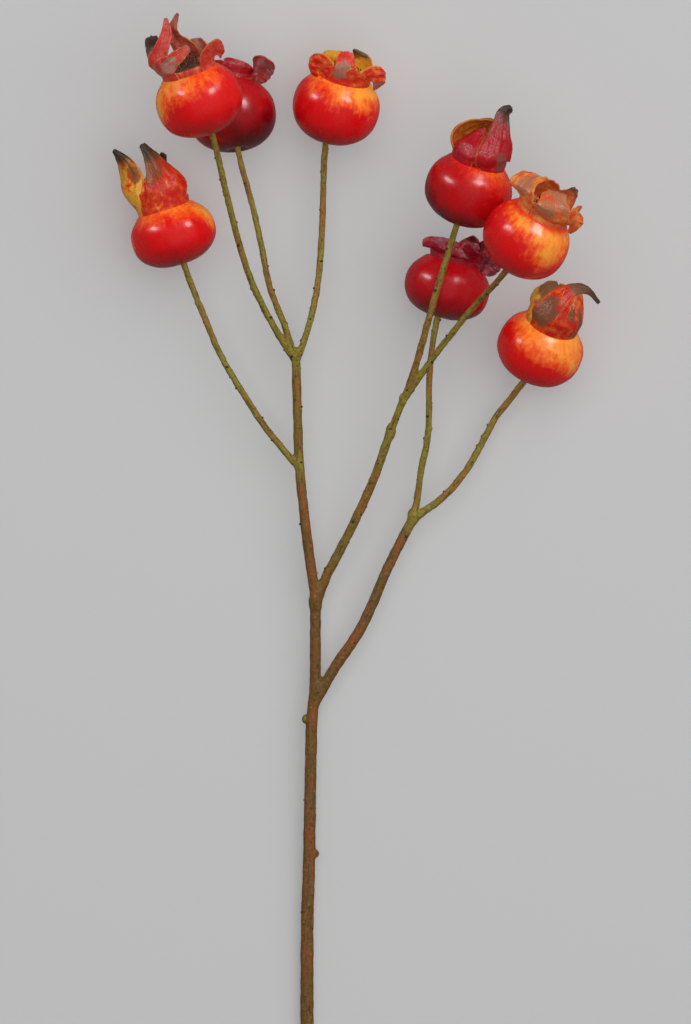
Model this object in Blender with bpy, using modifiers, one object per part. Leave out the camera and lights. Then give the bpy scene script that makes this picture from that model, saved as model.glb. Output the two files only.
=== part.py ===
"""A cut sprig of rose hips, lying on a flat surface.

One branched woody stem carries eight flattened round hips. Each hip wears a calyx on its neck: a shallow cup
with a ring of dried sepals, round a tuft of withered stamens. The sprig lies along +Y with its cut end lowest
in Y, +X to its right and +Z up. It rests on five of its hips and on the cut end of its stem.
"""

import math
import random

import bmesh
import bpy
from mathutils import Matrix, Vector

MM = 0.001

# Hips, in millimetres. Heights run along the hip's own axis, from its widest place.
HIP_RADIUS = 13.4
HIP_FULLNESS = 0.88  # 1 gives an ellipse, and less a fuller side
NECK_RADIUS = 8.4
DIMPLE_RADIUS = 3.6
DIMPLE_DEPTH = 0.6
SOCKET_RADIUS = 1.5
SOCKET_DEPTH = 2.4
HIP_STEPS = 16
HIP_RINGS = 7
FLAT_DEPTH = 0.3  # how much of a resting curve is pressed flat

# Calyx, in millimetres above the hip's neck.
GAP = 0.3
CUP = dict(bottom_radius=8.0, rim_radius=8.9, height=3.2, wall=1.5, floor=1.1, flare=1.0)
CUP_STEPS = 12
SEPAL_THICKNESS = 0.8
SEPAL_ROOT_RADIUS = 8.0
SEPAL_ROOT_HEIGHT = 2.0
SEPAL_ROOT_ARC = 66.0  # degrees of the ring that one sepal's root takes up
SEPAL_SPANS = 6
SEPAL_COLUMNS = 3

# Stamens, in millimetres.
BUTTON_RADIUS = 4.4
BUTTON_TOP_RADIUS = 3.3
BUTTON_HEIGHT = 1.2
FILAMENTS = 7
FILAMENT_LENGTH = 3.4
FILAMENT_RADIUS = 0.55
FILAMENT_TAPER = 0.5  # the tip's radius over the root's
FILAMENT_ROOT = 0.3  # how high in the button a filament starts
FILAMENT_TILT = 0.2  # radians, at most
FILAMENT_RING = 0.62  # the ring the filaments stand on, over the button's radius
SHORTEST_FILAMENT = 0.7  # over the longest
NEAREST_FILAMENT = 0.6  # how near the middle one may stand, over the ring's radius
UNEVENNESS = 0.2  # how far a drawn angle strays from its even place, in steps
STAMEN_SEED = 3

# Stem, in millimetres.
TUBE_STEP = 6.0
PEDICEL_TIP_RADIUS = 1.12
PEDICEL_STRAIGHT = 3.0  # the last stretch below a hip runs along the hip's axis
TIP_CLEARANCE = 0.35
NUB_SEED = 8
NUB_SPACING = 40.0
NUB_SPREAD = 0.4  # how unevenly the nubs are spaced
NUB_SIZE = 0.75
NUB_VARIES = 0.2  # how much a nub's size strays from that, over it
NUB_TAPER = 0.4  # the tip's radius over the root's
NUB_RISE = 0.7  # how far a nub stands out, over its root's radius
TUBE_SIDES = 10
PEDICEL_SIDES = 8

# Each hip: its middle (x, y), its height (None where it rests on the surface), how far its axis leans to the
# right and how far it is pitched up in degrees, and how far it reaches above and below its widest place.
HIPS = {
    1: dict(place=(-42.5, 265), height=None, lean=-18, pitch=6, half_height=9.7, skin="red"),
    2: dict(place=(-34, 305.5), height=38, lean=-19, pitch=14, half_height=10.9, skin="red"),
    3: dict(place=(-24, 302), height=None, lean=-8, pitch=-10, half_height=11.2, skin="crimson"),
    4: dict(place=(8, 304.5), height=None, lean=15, pitch=19, half_height=11.3, skin="red"),
    5: dict(place=(49, 278), height=33, lean=18, pitch=18, half_height=10.9, skin="crimson"),
    6: dict(place=(66.5, 262.5), height=46, lean=31, pitch=21, half_height=11.2, skin="red"),
    7: dict(place=(42.5, 248.5), height=None, lean=16, pitch=4, half_height=9.7, skin="crimson"),
    8: dict(place=(71.5, 229.5), height=None, lean=24, pitch=27, half_height=10.5, skin="red"),
}

# The sepals of each hip, as (azimuth, bend, turn, path). The azimuth of the root round the neck is 0 upwards
# and 90 to the right. bend is the arc of the cross-section beyond the root, positive where the edges bend in
# towards the axis, and turn twists the sepal about its own length, all in degrees. The path's points are
# (right, along the axis, up, width of the sepal there), from the middle of the neck.
SEPALS = {
    1: [
        (20, 70, 0, [(3.5, 7, 8, 14), (2.5, 12.5, 6, 10), (1.2, 17.5, 3.5, 5.5), (-0.8, 22, 1, 1.8)]),
        (-80, 50, 50, [(-9, 7.5, 2, 10.5), (-7.2, 13, 2, 8.5), (-7.5, 17.5, 1.5, 5.5), (-9.5, 23, 1.5, 0.9)]),
        (-35, 60, 0, [(-3.5, 7, 7.5, 8.5), (-3, 10.5, 5.5, 3)]),
        (140, 50, 0, [(5, 5, -6, 9), (4, 10, -5.5, 5.5), (4, 14.5, -4.5, 2.8), (4.8, 17, -3, 1.8)]),
        (-145, 50, 0, [(-3.5, 6.5, -6, 9), (-1.5, 10.5, -5, 5), (0, 13, -4, 2)]),
    ],
    2: [
        (62, 40, -50, [(8.8, 4.2, 6, 10), (10.6, 4.8, 6, 9.5), (12.6, 5, 5.5, 8)]),
        (150, 50, 0, [(4, 4.5, -6.5, 11), (4, 9, -6.5, 8)]),
        (-60, -20, 30, [(-7.2, 4.4, 5, 7.5), (-4.5, 6.2, 6.2, 5), (-1, 7.6, 6.4, 3.8), (2.6, 8.9, 5.2, 2)]),
        (-85, -30, 60, [(-9.5, 5.5, 1.5, 7), (-6.5, 9.5, 1.5, 5), (-3, 14, 0, 3.6), (-1.5, 18.5, -2, 0.9)]),
        (-120, 60, 30, [(-8, 6, -4, 7), (-8, 10.5, -4.5, 4.5), (-7, 14.5, -4.5, 3.8)]),
        (175, 50, 0, [(1, 6, -6.5, 8), (-0.5, 10, -6.5, 5), (-0.5, 14, -5.5, 3), (2.5, 18, -5.5, 0.9)]),
    ],
    3: [
        (30, 60, -10, [(4.8, 4, 8, 12), (5.4, 5.6, 7.6, 11)]),
        (66, 25, -50, [(9, 3.6, 5, 10), (11.2, 2.8, 5.6, 9.5), (13.2, 1.2, 5.8, 7.5)]),
        (150, 50, 0, [(4, 4, -7, 10), (4.5, 6, -6, 7)]),
        (-30, 60, 0, [(-4, 4.5, 7, 11), (-3, 7.5, 6, 7)]),
        (-100, 50, 0, [(-8.5, 4, -1, 10), (-8, 7, -1, 5)]),
    ],
    4: [
        (-52, 30, 50, [(-7.8, 3.7, 5.8, 9), (-9.6, 3.4, 5.3, 8), (-11.6, 3.2, 4.2, 6)]),
        (4, 30, 0, [(0.2, 4.5, 8.2, 9), (-0.4, 7, 7.4, 6.2), (-1.2, 10.8, 4.6, 5)]),
        (58, 30, -60, [(8.2, 3.9, 5.7, 9), (10.4, 4.6, 5.3, 8.5), (12.9, 5.2, 4.4, 6.5)]),
        (-27, 60, 0, [(-4.2, 3.8, 7.6, 10), (-5, 5.2, 7.6, 8.5)]),
        (32, 60, 0, [(4.9, 3.6, 7.4, 10), (5.8, 5.2, 7.4, 8.5)]),
        (143, 50, 0, [(5, 4, -6.5, 11), (4.5, 6.5, -6.5, 8), (2, 8.5, -5, 2.5), (5.5, 8, -3, 2)]),
        (-140, 50, 0, [(-5, 4, -6, 11), (-5.5, 6.5, -6.5, 9)]),
    ],
    5: [
        (40, 70, -25, [
            (5, 4.5, 7.5, 13), (4.5, 9, 5.5, 11), (3.5, 14, 2.5, 6), (3, 18, 0, 4), (5, 20, -1.5, 1.8),
        ]),
        (-43, 50, 0, [(-5.6, 3.5, 6, 12), (-4.8, 6.5, 5.2, 10), (-3.2, 9, 2.6, 5.5), (-0.8, 11.5, 0.5, 1.5)]),
        (-105, 60, -20, [
            (-9, 4, -2.5, 10), (-9, 7, -3, 8.5), (-6, 10.3, -3.5, 6.5), (-1.5, 12.6, -3.5, 4), (1.5, 13.5, -3, 1.5),
        ]),
        (175, 50, 0, [(0, 4, -7.5, 11), (-0.8, 8, -7, 9), (-0.8, 11.5, -5, 6.5), (2, 13.5, -3.5, 2.5)]),
        (100, 50, 0, [(8, 4.5, -1.5, 9), (8, 6.5, -2, 6.5), (8, 8, -3, 3)]),
    ],
    6: [
        (-58, -20, 45, [(-8, 4, 5.5, 11), (-9.3, 6, 6, 11), (-9, 8.5, 4, 9.5), (-7, 10, 0.5, 7), (-4.5, 9, -2, 4)]),
        (-155, 50, 0, [(-3, 5, -6.5, 11), (-1.5, 7, -7, 8), (1, 8.5, -6, 5)]),
        (150, 50, 0, [(4, 5, -6.5, 8), (5, 8.5, -5.5, 5), (5.5, 11.5, -4.5, 2.8)]),
        (98, 50, -20, [(8.3, 4, -1, 10), (9, 6.3, -1.5, 8), (9, 8.5, -2, 4.5)]),
        (60, 30, -50, [(8.5, 3.8, 5, 10), (10.5, 4.8, 4, 8), (12.5, 5.5, 3, 2)]),
        (12, 40, 0, [(2.2, 4, 9.5, 13), (2.2, 6.8, 10, 11), (0.6, 8.9, 8, 9), (-2, 9.6, 4, 7)]),
    ],
    7: [
        (-32, 30, 32, [(-5, 3.6, 8, 12), (-5.4, 5.2, 8, 12), (-5.6, 7, 7.4, 11.5)]),
        (4, 100, 0, [(0.6, 3, 9.4, 15), (0.8, 5, 8.8, 15)]),
        (44, 40, -20, [(5.2, 4.8, 7, 11), (5, 6, 6.4, 10.5), (4.8, 8, 5.4, 9)]),
        (80, 30, -60, [(9.5, 2.6, 2, 8), (11.5, 1.8, 2.6, 6), (14, 0.4, 3, 3)]),
        (42, 220, 0, [(6.2, 4.8, 9, 10), (7.6, 5.6, 11.2, 10)]),
        (145, 50, 0, [(4.5, 4, -6, 11), (5.5, 6.5, -5, 8), (6.5, 7.5, -3, 5)]),
        (-150, 50, 0, [(-4, 4, -6.5, 11), (-4, 6.5, -6, 9)]),
    ],
    8: [
        (-15, 50, 0, [
            (-2, 5, 8, 12), (-1.2, 10, 6.2, 10), (0.8, 13.8, 2.4, 6.5), (2.6, 15.3, 0, 4.6), (6.5, 15.5, -1.5, 2.8),
            (11, 12.5, -2, 1),
        ]),
        (-80, 60, 30, [(-7.5, 4.5, 1, 11), (-7, 8, -1, 9), (-5.5, 11, -3, 5), (-3, 12.5, -3.5, 3)]),
        (65, 60, 0, [(7.5, 5.5, 3, 11), (6.5, 9.5, 0.5, 8), (4.5, 12.5, -2, 5), (1.5, 14.5, -3, 2)]),
        (28, 50, 0, [(4.5, 5, 7.5, 9), (4, 8.5, 6, 7), (2.5, 10.5, 4, 3)]),
        (175, 50, 0, [(0, 4.5, -7, 10), (-1, 8.5, -6.5, 6), (-1.5, 12, -6, 3)]),
    ],
}

# Each limb of the stem: its radii at its root and at its end, and its route, as points (x, y, height). A
# pedicel is named for its hip and ends inside that hip's socket, so its route stops short of it.
LIMBS = {
    "leader": dict(
        radii=(2.15, 1.45),
        route=[
            *((-1, 0, 1.95), (-1, 48.5, 3), (-0.5, 66, 3.5), (0, 92, 4.5), (0.5, 113.5, 5.2), (1.5, 124, 5.6)),
            *((1.5, 136, 6), (1.5, 151, 6.7), (-0.5, 165.5, 7.6), (-2.5, 183, 8.6), (-3.5, 193.5, 9.3)),
            *((-4, 209, 10.4), (-4.5, 227, 11.6)),
        ],
    ),
    "middle_branch": dict(
        radii=(1.6, 1.4),
        route=[
            *((1.5, 148, 6.5), (4.5, 157, 7.1), (9, 165.5, 8), (13.5, 174.5, 9.3), (17.5, 183, 10.7)),
            *((21, 191.5, 12.3), (25, 203.5, 14.6)),
        ],
    ),
    "right_branch": dict(
        radii=(1.8, 1.6),
        route=[
            *((1.5, 119, 5.5), (8.5, 131, 5.9), (14.5, 139.5, 6.2), (19, 148.5, 6.4), (22.5, 157, 6.6)),
            *((26.5, 165.5, 6.8), (32.5, 177, 7)),
        ],
    ),
    "pedicel_1": dict(
        radii=(1.15, 1.05),
        route=[
            *((-3.5, 191.5, 9.3), (-8.5, 197.5, 10.2), (-14.5, 205, 11.2), (-20, 213.5, 12), (-27.5, 226, 12.4)),
            (-33.5, 240, 12.2),
        ],
    ),
    "pedicel_2": dict(
        radii=(1.15, 1.05),
        route=[
            *((-4.5, 224.5, 11.5), (-9.5, 232.5, 13.6), (-14.5, 241.5, 16.6), (-19, 251.5, 20), (-22.5, 263, 24)),
            (-26, 277, 29),
        ],
    ),
    "pedicel_3": dict(
        radii=(1.1, 1),
        route=[(-4.5, 225.5, 11.5), (-8, 236, 13.4), (-12.5, 247.5, 15.2), (-15, 260, 16.2), (-18, 273.5, 16.4)],
    ),
    "pedicel_4": dict(
        radii=(1.15, 1.05),
        route=[
            *((-4.5, 224, 11.4), (-1.5, 232.5, 11.5), (1, 241.5, 10.8), (2.5, 250.5, 9.8), (3.5, 263, 8.6)),
            (4, 275.5, 7.8),
        ],
    ),
    "pedicel_5": dict(
        radii=(1.25, 1.05),
        route=[
            *((24.5, 201.5, 14.2), (27.5, 209.5, 16.8), (30.5, 216.5, 19.4), (33.5, 226, 23.2), (36, 235, 26.4)),
            *((39.5, 247.5, 28.2), (42.5, 257.5, 28.4)),
        ],
    ),
    "pedicel_6": dict(
        radii=(1.1, 1.05),
        route=[(28.5, 212, 17.7), (33, 218.5, 20.4), (38.5, 226.5, 23.6), (44.5, 234, 27), (50.5, 241.5, 30.8)],
    ),
    "pedicel_7": dict(
        radii=(1.15, 1.05),
        route=[
            *((32, 176, 7), (33.5, 183, 7.6), (34.5, 191.5, 8.5), (36.5, 200.5, 9.5), (37, 211, 10.5)),
            (37, 221, 11.4),
        ],
    ),
    "pedicel_8": dict(
        radii=(1.25, 1.1),
        route=[
            *((31.5, 175, 7), (36.5, 179, 7), (42, 183, 6.7), (49, 191.5, 6), (54, 200.5, 5.2)),
            (58, 208, 4.8),
        ],
    ),
}

# Swellings where limbs part, and two bud scars: (x, y, height, radius, length over width).
KNOTS = [
    (2, 123, 5.6, 2.35, 1.8),
    (1.6, 150, 6.7, 2.3, 1.8),
    (-3.8, 193.5, 9.3, 1.75, 1.6),
    (-4.5, 226.5, 11.6, 1.8, 1.6),
    (25, 203, 14.5, 1.7, 1.7),
    (28.8, 213, 18.1, 1.4, 1.6),
    (32, 176.5, 7, 1.95, 1.5),
    (1.8, 71.5, 3.9, 1, 1.4),
    (-1.7, 113.5, 5.2, 1, 1.5),
]

SKINS = dict(
    red=dict(color=(0.62, 0.022, 0.014), roughness=0.22),
    crimson=dict(color=(0.24, 0.008, 0.012), roughness=0.22),
    calyx=dict(color=(0.42, 0.035, 0.02), roughness=0.35),
    stamens=dict(color=(0.045, 0.026, 0.014), roughness=0.8),
    stem=dict(color=(0.16, 0.085, 0.03), roughness=0.55),
)


def clear_scene():
    for obj in list(bpy.data.objects):
        bpy.data.objects.remove(obj)


def new_collection(name, parent):
    collection = bpy.data.collections.new(name)
    parent.children.link(collection)
    return collection


def make_material(name, color, roughness):
    material = bpy.data.materials.new(name)
    material.use_nodes = True
    shader = material.node_tree.nodes["Principled BSDF"]
    shader.inputs["Base Color"].default_value = (*color, 1)
    shader.inputs["Roughness"].default_value = roughness
    shader.inputs["Metallic"].default_value = 0
    return material


def mesh_object(name, mesh, collection, material=None):
    obj = bpy.data.objects.new(name, mesh)
    collection.objects.link(obj)
    if material:
        mesh.materials.clear()
        mesh.materials.append(material)
    return obj


def bmesh_object(name, bm, collection):
    mesh = bpy.data.meshes.new(name)
    bm.to_mesh(mesh)
    bm.free()
    return mesh_object(name, mesh, collection)


def evaluated_mesh(obj):
    """The object's mesh with its modifiers applied and the caps of a curve welded on."""
    graph = bpy.context.evaluated_depsgraph_get()
    mesh = bpy.data.meshes.new_from_object(obj.evaluated_get(graph))
    bm = bmesh.new()
    bm.from_mesh(mesh)
    bmesh.ops.remove_doubles(bm, verts=bm.verts, dist=0.001 * MM)
    bm.to_mesh(mesh)
    bm.free()
    return mesh


def apply_modifiers(obj):
    mesh = evaluated_mesh(obj)
    obj.modifiers.clear()
    obj.data = mesh


def keep_main_shell(mesh):
    """Drops the loose scraps and sealed hollows that a union can leave, and keeps the shell with the most faces."""
    bm = bmesh.new()
    bm.from_mesh(mesh)
    left = set(bm.faces)
    shells = []
    while left:
        shell = set()
        front = [left.pop()]
        while front:
            face = front.pop()
            shell.add(face)
            for edge in face.edges:
                for other in left.intersection(edge.link_faces):
                    left.remove(other)
                    front.append(other)
        shells.append(shell)
    main_shell = max(shells, key=len)
    loose = [face for face in bm.faces if face not in main_shell]
    bmesh.ops.delete(bm, geom=loose, context="FACES")
    bm.to_mesh(mesh)
    bm.free()


def smooth_path(points, count):
    """count + 1 points, evenly spread by knot, on the centripetal Catmull-Rom curve through points."""
    points = [Vector(point) for point in points]
    ends = [2 * points[0] - points[1], *points, 2 * points[-1] - points[-2]]
    knots = [0.0]
    for before, after in zip(ends, ends[1:]):
        knots.append(knots[-1] + math.sqrt((after - before).length))
    path = []
    for i in range(count + 1):
        knot = knots[1] + (knots[-2] - knots[1]) * i / count
        k = max(j for j in range(1, len(points)) if knots[j] <= knot + 1e-9)
        path.append(blend_knots(ends[k - 1 : k + 3], knots[k - 1 : k + 3], knot))
    return path


def blend_knots(points, knots, knot):
    """One point of a Catmull-Rom curve, by straight blends of blends of the four points around it."""
    for spans in ([(0, 1), (1, 2), (2, 3)], [(0, 2), (1, 3)], [(1, 2)]):
        blended = []
        for i, (low, high) in enumerate(spans):
            share = (knot - knots[low]) / (knots[high] - knots[low])
            blended.append(points[i].lerp(points[i + 1], share))
        points = blended
    return points[0]


def axes_of(hip):
    """The turn from a hip's own axes (right, along the axis, up) to the sprig's."""
    lean = math.radians(hip["lean"])
    pitch = math.radians(hip["pitch"])
    right = Vector((math.cos(lean), -math.sin(lean), 0))
    along = Vector((math.sin(lean) * math.cos(pitch), math.cos(lean) * math.cos(pitch), math.sin(pitch)))
    return Matrix((right, along, right.cross(along))).transposed()


def resting_height(hip):
    """How high a hip's middle is where the hip rests on its pressed flat spot."""
    pitch = math.radians(hip["pitch"])
    power = 2 / (2 - HIP_FULLNESS)
    across = abs(HIP_RADIUS * math.cos(pitch)) ** power
    along = abs(hip["half_height"] * math.sin(pitch)) ** power
    return (across + along) ** (1 / power) - FLAT_DEPTH


def middle_of(hip):
    height = resting_height(hip) if hip["height"] is None else hip["height"]
    return Vector((*hip["place"], height))


def side_point(half_height, angle):
    radius = HIP_RADIUS * math.cos(angle) ** HIP_FULLNESS
    height = half_height * abs(math.sin(angle)) ** HIP_FULLNESS
    return radius, math.copysign(height, angle)


def side_angle(radius):
    return math.acos((radius / HIP_RADIUS) ** (1 / HIP_FULLNESS))


def neck_height(hip):
    return side_point(hip["half_height"], side_angle(NECK_RADIUS))[1]


def base_height(hip):
    return side_point(hip["half_height"], -side_angle(DIMPLE_RADIUS))[1]


def hip_profile(hip):
    """Points (radius, height) from the middle of the neck, down the side and into the pedicel's socket."""
    top = side_angle(NECK_RADIUS)
    bottom = -side_angle(DIMPLE_RADIUS)
    profile = [(0, neck_height(hip))]
    for i in range(HIP_RINGS + 1):
        profile.append(side_point(hip["half_height"], top + (bottom - top) * i / HIP_RINGS))
    mouth = base_height(hip) + DIMPLE_DEPTH
    profile += [(SOCKET_RADIUS, mouth), (SOCKET_RADIUS, mouth + SOCKET_DEPTH), (0, mouth + SOCKET_DEPTH)]
    return profile


def turned(name, profile, steps, collection):
    """An object whose profile (radius, height) is turned round its Y axis."""
    mesh = bpy.data.meshes.new(name)
    points = [(radius * MM, height * MM, 0) for radius, height in profile]
    edges = [(i, i + 1) for i in range(len(points) - 1)]
    mesh.from_pydata(points, edges, [])
    obj = mesh_object(name, mesh, collection)
    screw = obj.modifiers.new("turn", "SCREW")
    screw.axis = "Y"
    screw.steps = steps
    screw.render_steps = steps
    screw.use_merge_vertices = True
    screw.merge_threshold = 0.01 * MM
    screw.use_smooth_shade = True
    return obj


def join(obj, pieces):
    """Joins every object of the collection of pieces to obj, then removes them."""
    union = obj.modifiers.new("join", "BOOLEAN")
    union.operation = "UNION"
    union.operand_type = "COLLECTION"
    union.solver = "MANIFOLD"
    union.collection = pieces
    apply_modifiers(obj)
    keep_main_shell(obj.data)
    for piece in list(pieces.objects):
        bpy.data.objects.remove(piece)
    bpy.data.collections.remove(pieces)


def press_flat(obj, surface):
    """Cuts off what would reach below the surface that the sprig rests on."""
    cut = obj.modifiers.new("resting_flat", "BOOLEAN")
    cut.operation = "DIFFERENCE"
    cut.object = surface


def place_on_hip(obj, hip, height):
    """Puts obj's origin at this height on the hip's axis, and turns it with the hip."""
    turn = axes_of(hip)
    obj.location = (middle_of(hip) + turn @ Vector((0, height, 0))) * MM
    obj.rotation_euler = turn.to_euler()


def build_hip(number, hip, surface, collection, material):
    obj = turned(f"hip_{number}", hip_profile(hip), HIP_STEPS, collection)
    obj.data.materials.append(material)
    place_on_hip(obj, hip, 0)
    if hip["height"] is None:
        press_flat(obj, surface)
    return obj


def cup_profile():
    floor = GAP + CUP["floor"]
    inner = CUP["rim_radius"] - CUP["wall"]
    return [
        (0, floor),
        (inner - CUP["flare"], floor),
        (inner, CUP["height"]),
        (CUP["rim_radius"], CUP["height"]),
        (CUP["bottom_radius"], GAP),
        (0, GAP),
    ]


def root_fade(i):
    """How far row i of a sepal has left the form of its root, from 0 to 1."""
    return min(1, 2 * i / SEPAL_SPANS)


def sepal_frames(azimuth, turn, path):
    """For each place along the sepal: its middle, its width there, and its across and outward directions."""
    angle = math.radians(azimuth)
    outward = Vector((math.sin(angle), 0, math.cos(angle)))
    root = (*(SEPAL_ROOT_RADIUS * outward + Vector((0, SEPAL_ROOT_HEIGHT, 0))),)
    root_width = SEPAL_ROOT_RADIUS * math.radians(SEPAL_ROOT_ARC)
    line = smooth_path([(*root, root_width), *path], SEPAL_SPANS)
    frames = []
    for i, point in enumerate(line):
        forward = (line[min(i + 1, SEPAL_SPANS)] - line[max(i - 1, 0)]).xyz.normalized()
        outward = (outward - forward * outward.dot(forward)).normalized()
        twist = Matrix.Rotation(math.radians(turn) * root_fade(i), 3, forward)
        facing = twist @ outward
        frames.append((point.xyz, point.w, forward.cross(facing), facing))
    return frames


def sepal_sheet(azimuth, bend, turn, path):
    """The sepal's middle surface: at each place along it, an arc across it."""
    bm = bmesh.new()
    rows = []
    for i, (middle, width, across, outward) in enumerate(sepal_frames(azimuth, turn, path)):
        arc = math.radians(SEPAL_ROOT_ARC + (bend - SEPAL_ROOT_ARC) * root_fade(i))
        radius = width / arc
        row = []
        for j in range(SEPAL_COLUMNS):
            angle = arc * (j / (SEPAL_COLUMNS - 1) - 0.5)
            offset = across * math.sin(angle) - outward * (1 - math.cos(angle))
            row.append(bm.verts.new((middle + radius * offset) * MM))
        rows.append(row)
    for low, high in zip(rows, rows[1:]):
        for j in range(SEPAL_COLUMNS - 1):
            bm.faces.new((low[j], low[j + 1], high[j + 1], high[j]))
    bmesh.ops.triangulate(bm, faces=bm.faces)
    return bm


def build_calyx(number, hip, collection, material):
    name = f"calyx_{number}"
    sepals = new_collection(f"{name}_sepals", collection)
    for azimuth, bend, turn, path in SEPALS[number]:
        sepal = bmesh_object("sepal", sepal_sheet(azimuth, bend, turn, path), sepals)
        thicken = sepal.modifiers.new("thicken", "SOLIDIFY")
        thicken.thickness = SEPAL_THICKNESS * MM
        thicken.offset = 0
    calyx = turned(name, cup_profile(), CUP_STEPS, collection)
    join(calyx, sepals)
    calyx.data.materials.append(material)
    place_on_hip(calyx, hip, neck_height(hip))
    return calyx


def cone(name, radii, length, sides, collection):
    """A cone or cylinder standing on its origin along +Y."""
    bm = bmesh.new()
    bmesh.ops.create_cone(
        bm, cap_ends=True, segments=sides, radius1=radii[0] * MM, radius2=radii[1] * MM, depth=length * MM
    )
    bmesh.ops.translate(bm, verts=bm.verts, vec=(0, 0, length / 2 * MM))
    bmesh.ops.rotate(bm, verts=bm.verts, matrix=Matrix.Rotation(-math.pi / 2, 3, "X"))
    return bmesh_object(name, bm, collection)


def build_stamens(number, hip, collection, material):
    """A low button with withered filaments that lean at random, each with its root sunk in the button."""
    name = f"stamens_{number}"
    draw = random.Random(STAMEN_SEED * 100 + number)
    filaments = new_collection(f"{name}_filaments", collection)
    for i in range(FILAMENTS):
        azimuth = 2 * math.pi * (i + draw.uniform(-UNEVENNESS, UNEVENNESS)) / FILAMENTS
        length = BUTTON_HEIGHT + FILAMENT_LENGTH * draw.uniform(SHORTEST_FILAMENT, 1)
        radii = (FILAMENT_RADIUS, FILAMENT_TAPER * FILAMENT_RADIUS)
        filament = cone("filament", radii, length, 4, filaments)
        reach = FILAMENT_RING * BUTTON_RADIUS * draw.uniform(NEAREST_FILAMENT, 1)
        filament.location = Vector((math.cos(azimuth), 0, math.sin(azimuth))) * reach * MM
        filament.location.y = FILAMENT_ROOT * MM
        filament.rotation_euler.x = draw.uniform(-FILAMENT_TILT, FILAMENT_TILT)
        filament.rotation_euler.z = draw.uniform(-FILAMENT_TILT, FILAMENT_TILT)
    button = cone(name, (BUTTON_RADIUS, BUTTON_TOP_RADIUS), BUTTON_HEIGHT, 10, collection)
    join(button, filaments)
    button.data.materials.append(material)
    place_on_hip(button, hip, neck_height(hip) + 2 * GAP + CUP["floor"])
    return button


def limb_line(name, limb):
    """Evenly spaced points (x, y, height, radius) along a limb's middle."""
    route = [Vector(point) for point in limb["route"]]
    if name.startswith("pedicel"):
        hip = HIPS[int(name[-1])]
        along = axes_of(hip).col[1]
        socket_floor = base_height(hip) + DIMPLE_DEPTH + SOCKET_DEPTH
        below = base_height(hip) - PEDICEL_STRAIGHT
        route.append(middle_of(hip) + along * below)
        route.append(middle_of(hip) + along * (socket_floor - TIP_CLEARANCE))
    first, last = limb["radii"]
    length = sum((after - before).length for before, after in zip(route, route[1:]))
    count = round(length / TUBE_STEP)
    points = []
    for i, point in enumerate(smooth_path(route, count)):
        points.append(Vector((*point, first + (last - first) * i / count)))
    if name.startswith("pedicel"):
        points[-1].w = PEDICEL_TIP_RADIUS
    return points


def tube(name, line, sides, collection):
    """A solid tube along a line of points (x, y, height, radius)."""
    curve = bpy.data.curves.new(name, "CURVE")
    curve.dimensions = "3D"
    curve.bevel_depth = MM
    curve.bevel_resolution = sides // 2 - 2
    curve.use_fill_caps = True
    spline = curve.splines.new("POLY")
    spline.points.add(len(line) - 1)
    for point, place in zip(spline.points, line):
        point.co = (*(place.xyz * MM), 1)
        point.radius = place.w
    guide = mesh_object("guide", curve, collection)
    bpy.context.view_layer.update()
    obj = mesh_object(name, evaluated_mesh(guide), collection)
    bpy.data.objects.remove(guide)
    return obj


def knot(place, radius, stretch, collection):
    """A swelling, longer along +Y than it is wide."""
    bm = bmesh.new()
    bmesh.ops.create_uvsphere(bm, u_segments=8, v_segments=6, radius=radius * MM)
    bmesh.ops.rotate(bm, verts=bm.verts, matrix=Matrix.Rotation(-math.pi / 2, 3, "X"))
    bmesh.ops.scale(bm, verts=bm.verts, vec=(1, stretch, 1))
    obj = bmesh_object("knot", bm, collection)
    obj.location = Vector(place) * MM
    return obj


def nubs_along(line, draw, collection):
    """Small blunt nubs standing out of a limb at uneven spacings, on its upper half and sides."""
    travelled = 0
    due = NUB_SPACING * draw.uniform(0, 1)
    for before, after in zip(line, line[1:-2]):
        forward = (after - before).xyz
        travelled += forward.length
        if travelled < due:
            continue
        due += NUB_SPACING * draw.uniform(1 - NUB_SPREAD, 1 + NUB_SPREAD)
        side = forward.normalized().cross(Vector((0, 0, 1))).normalized()
        angle = draw.uniform(0, math.pi)
        outward = side * math.cos(angle) + Vector((0, 0, 1)) * math.sin(angle)
        size = NUB_SIZE * draw.uniform(1 - NUB_VARIES, 1 + NUB_VARIES)
        nub = cone("nub", (size, NUB_TAPER * size), before.w + NUB_RISE * size, 5, collection)
        nub.location = before.xyz * MM
        nub.rotation_euler = Vector((0, 1, 0)).rotation_difference(outward).to_euler()


def build_stem(surface, collection, material):
    pieces = new_collection("stem_pieces", collection)
    draw = random.Random(NUB_SEED)
    lines = {name: limb_line(name, limb) for name, limb in LIMBS.items()}
    for name, line in lines.items():
        sides = PEDICEL_SIDES if name.startswith("pedicel") else TUBE_SIDES
        nubs_along(line, draw, pieces)
        if name != "leader":
            tube(name, line, sides, pieces)
    for x, y, height, radius, stretch in KNOTS:
        knot((x, y, height), radius, stretch, pieces)
    stem = tube("stem", lines["leader"], TUBE_SIDES, collection)
    join(stem, pieces)
    stem.data.materials.append(material)
    press_flat(stem, surface)
    return stem


def build_surface(collection):
    """The slab whose top the sprig rests on: only a cutter."""
    bm = bmesh.new()
    bmesh.ops.create_cube(bm, size=1)
    slab = bmesh_object("resting_surface", bm, collection)
    slab.location.z = -0.5
    slab.hide_render = True
    slab.display_type = "WIRE"
    return slab


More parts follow.
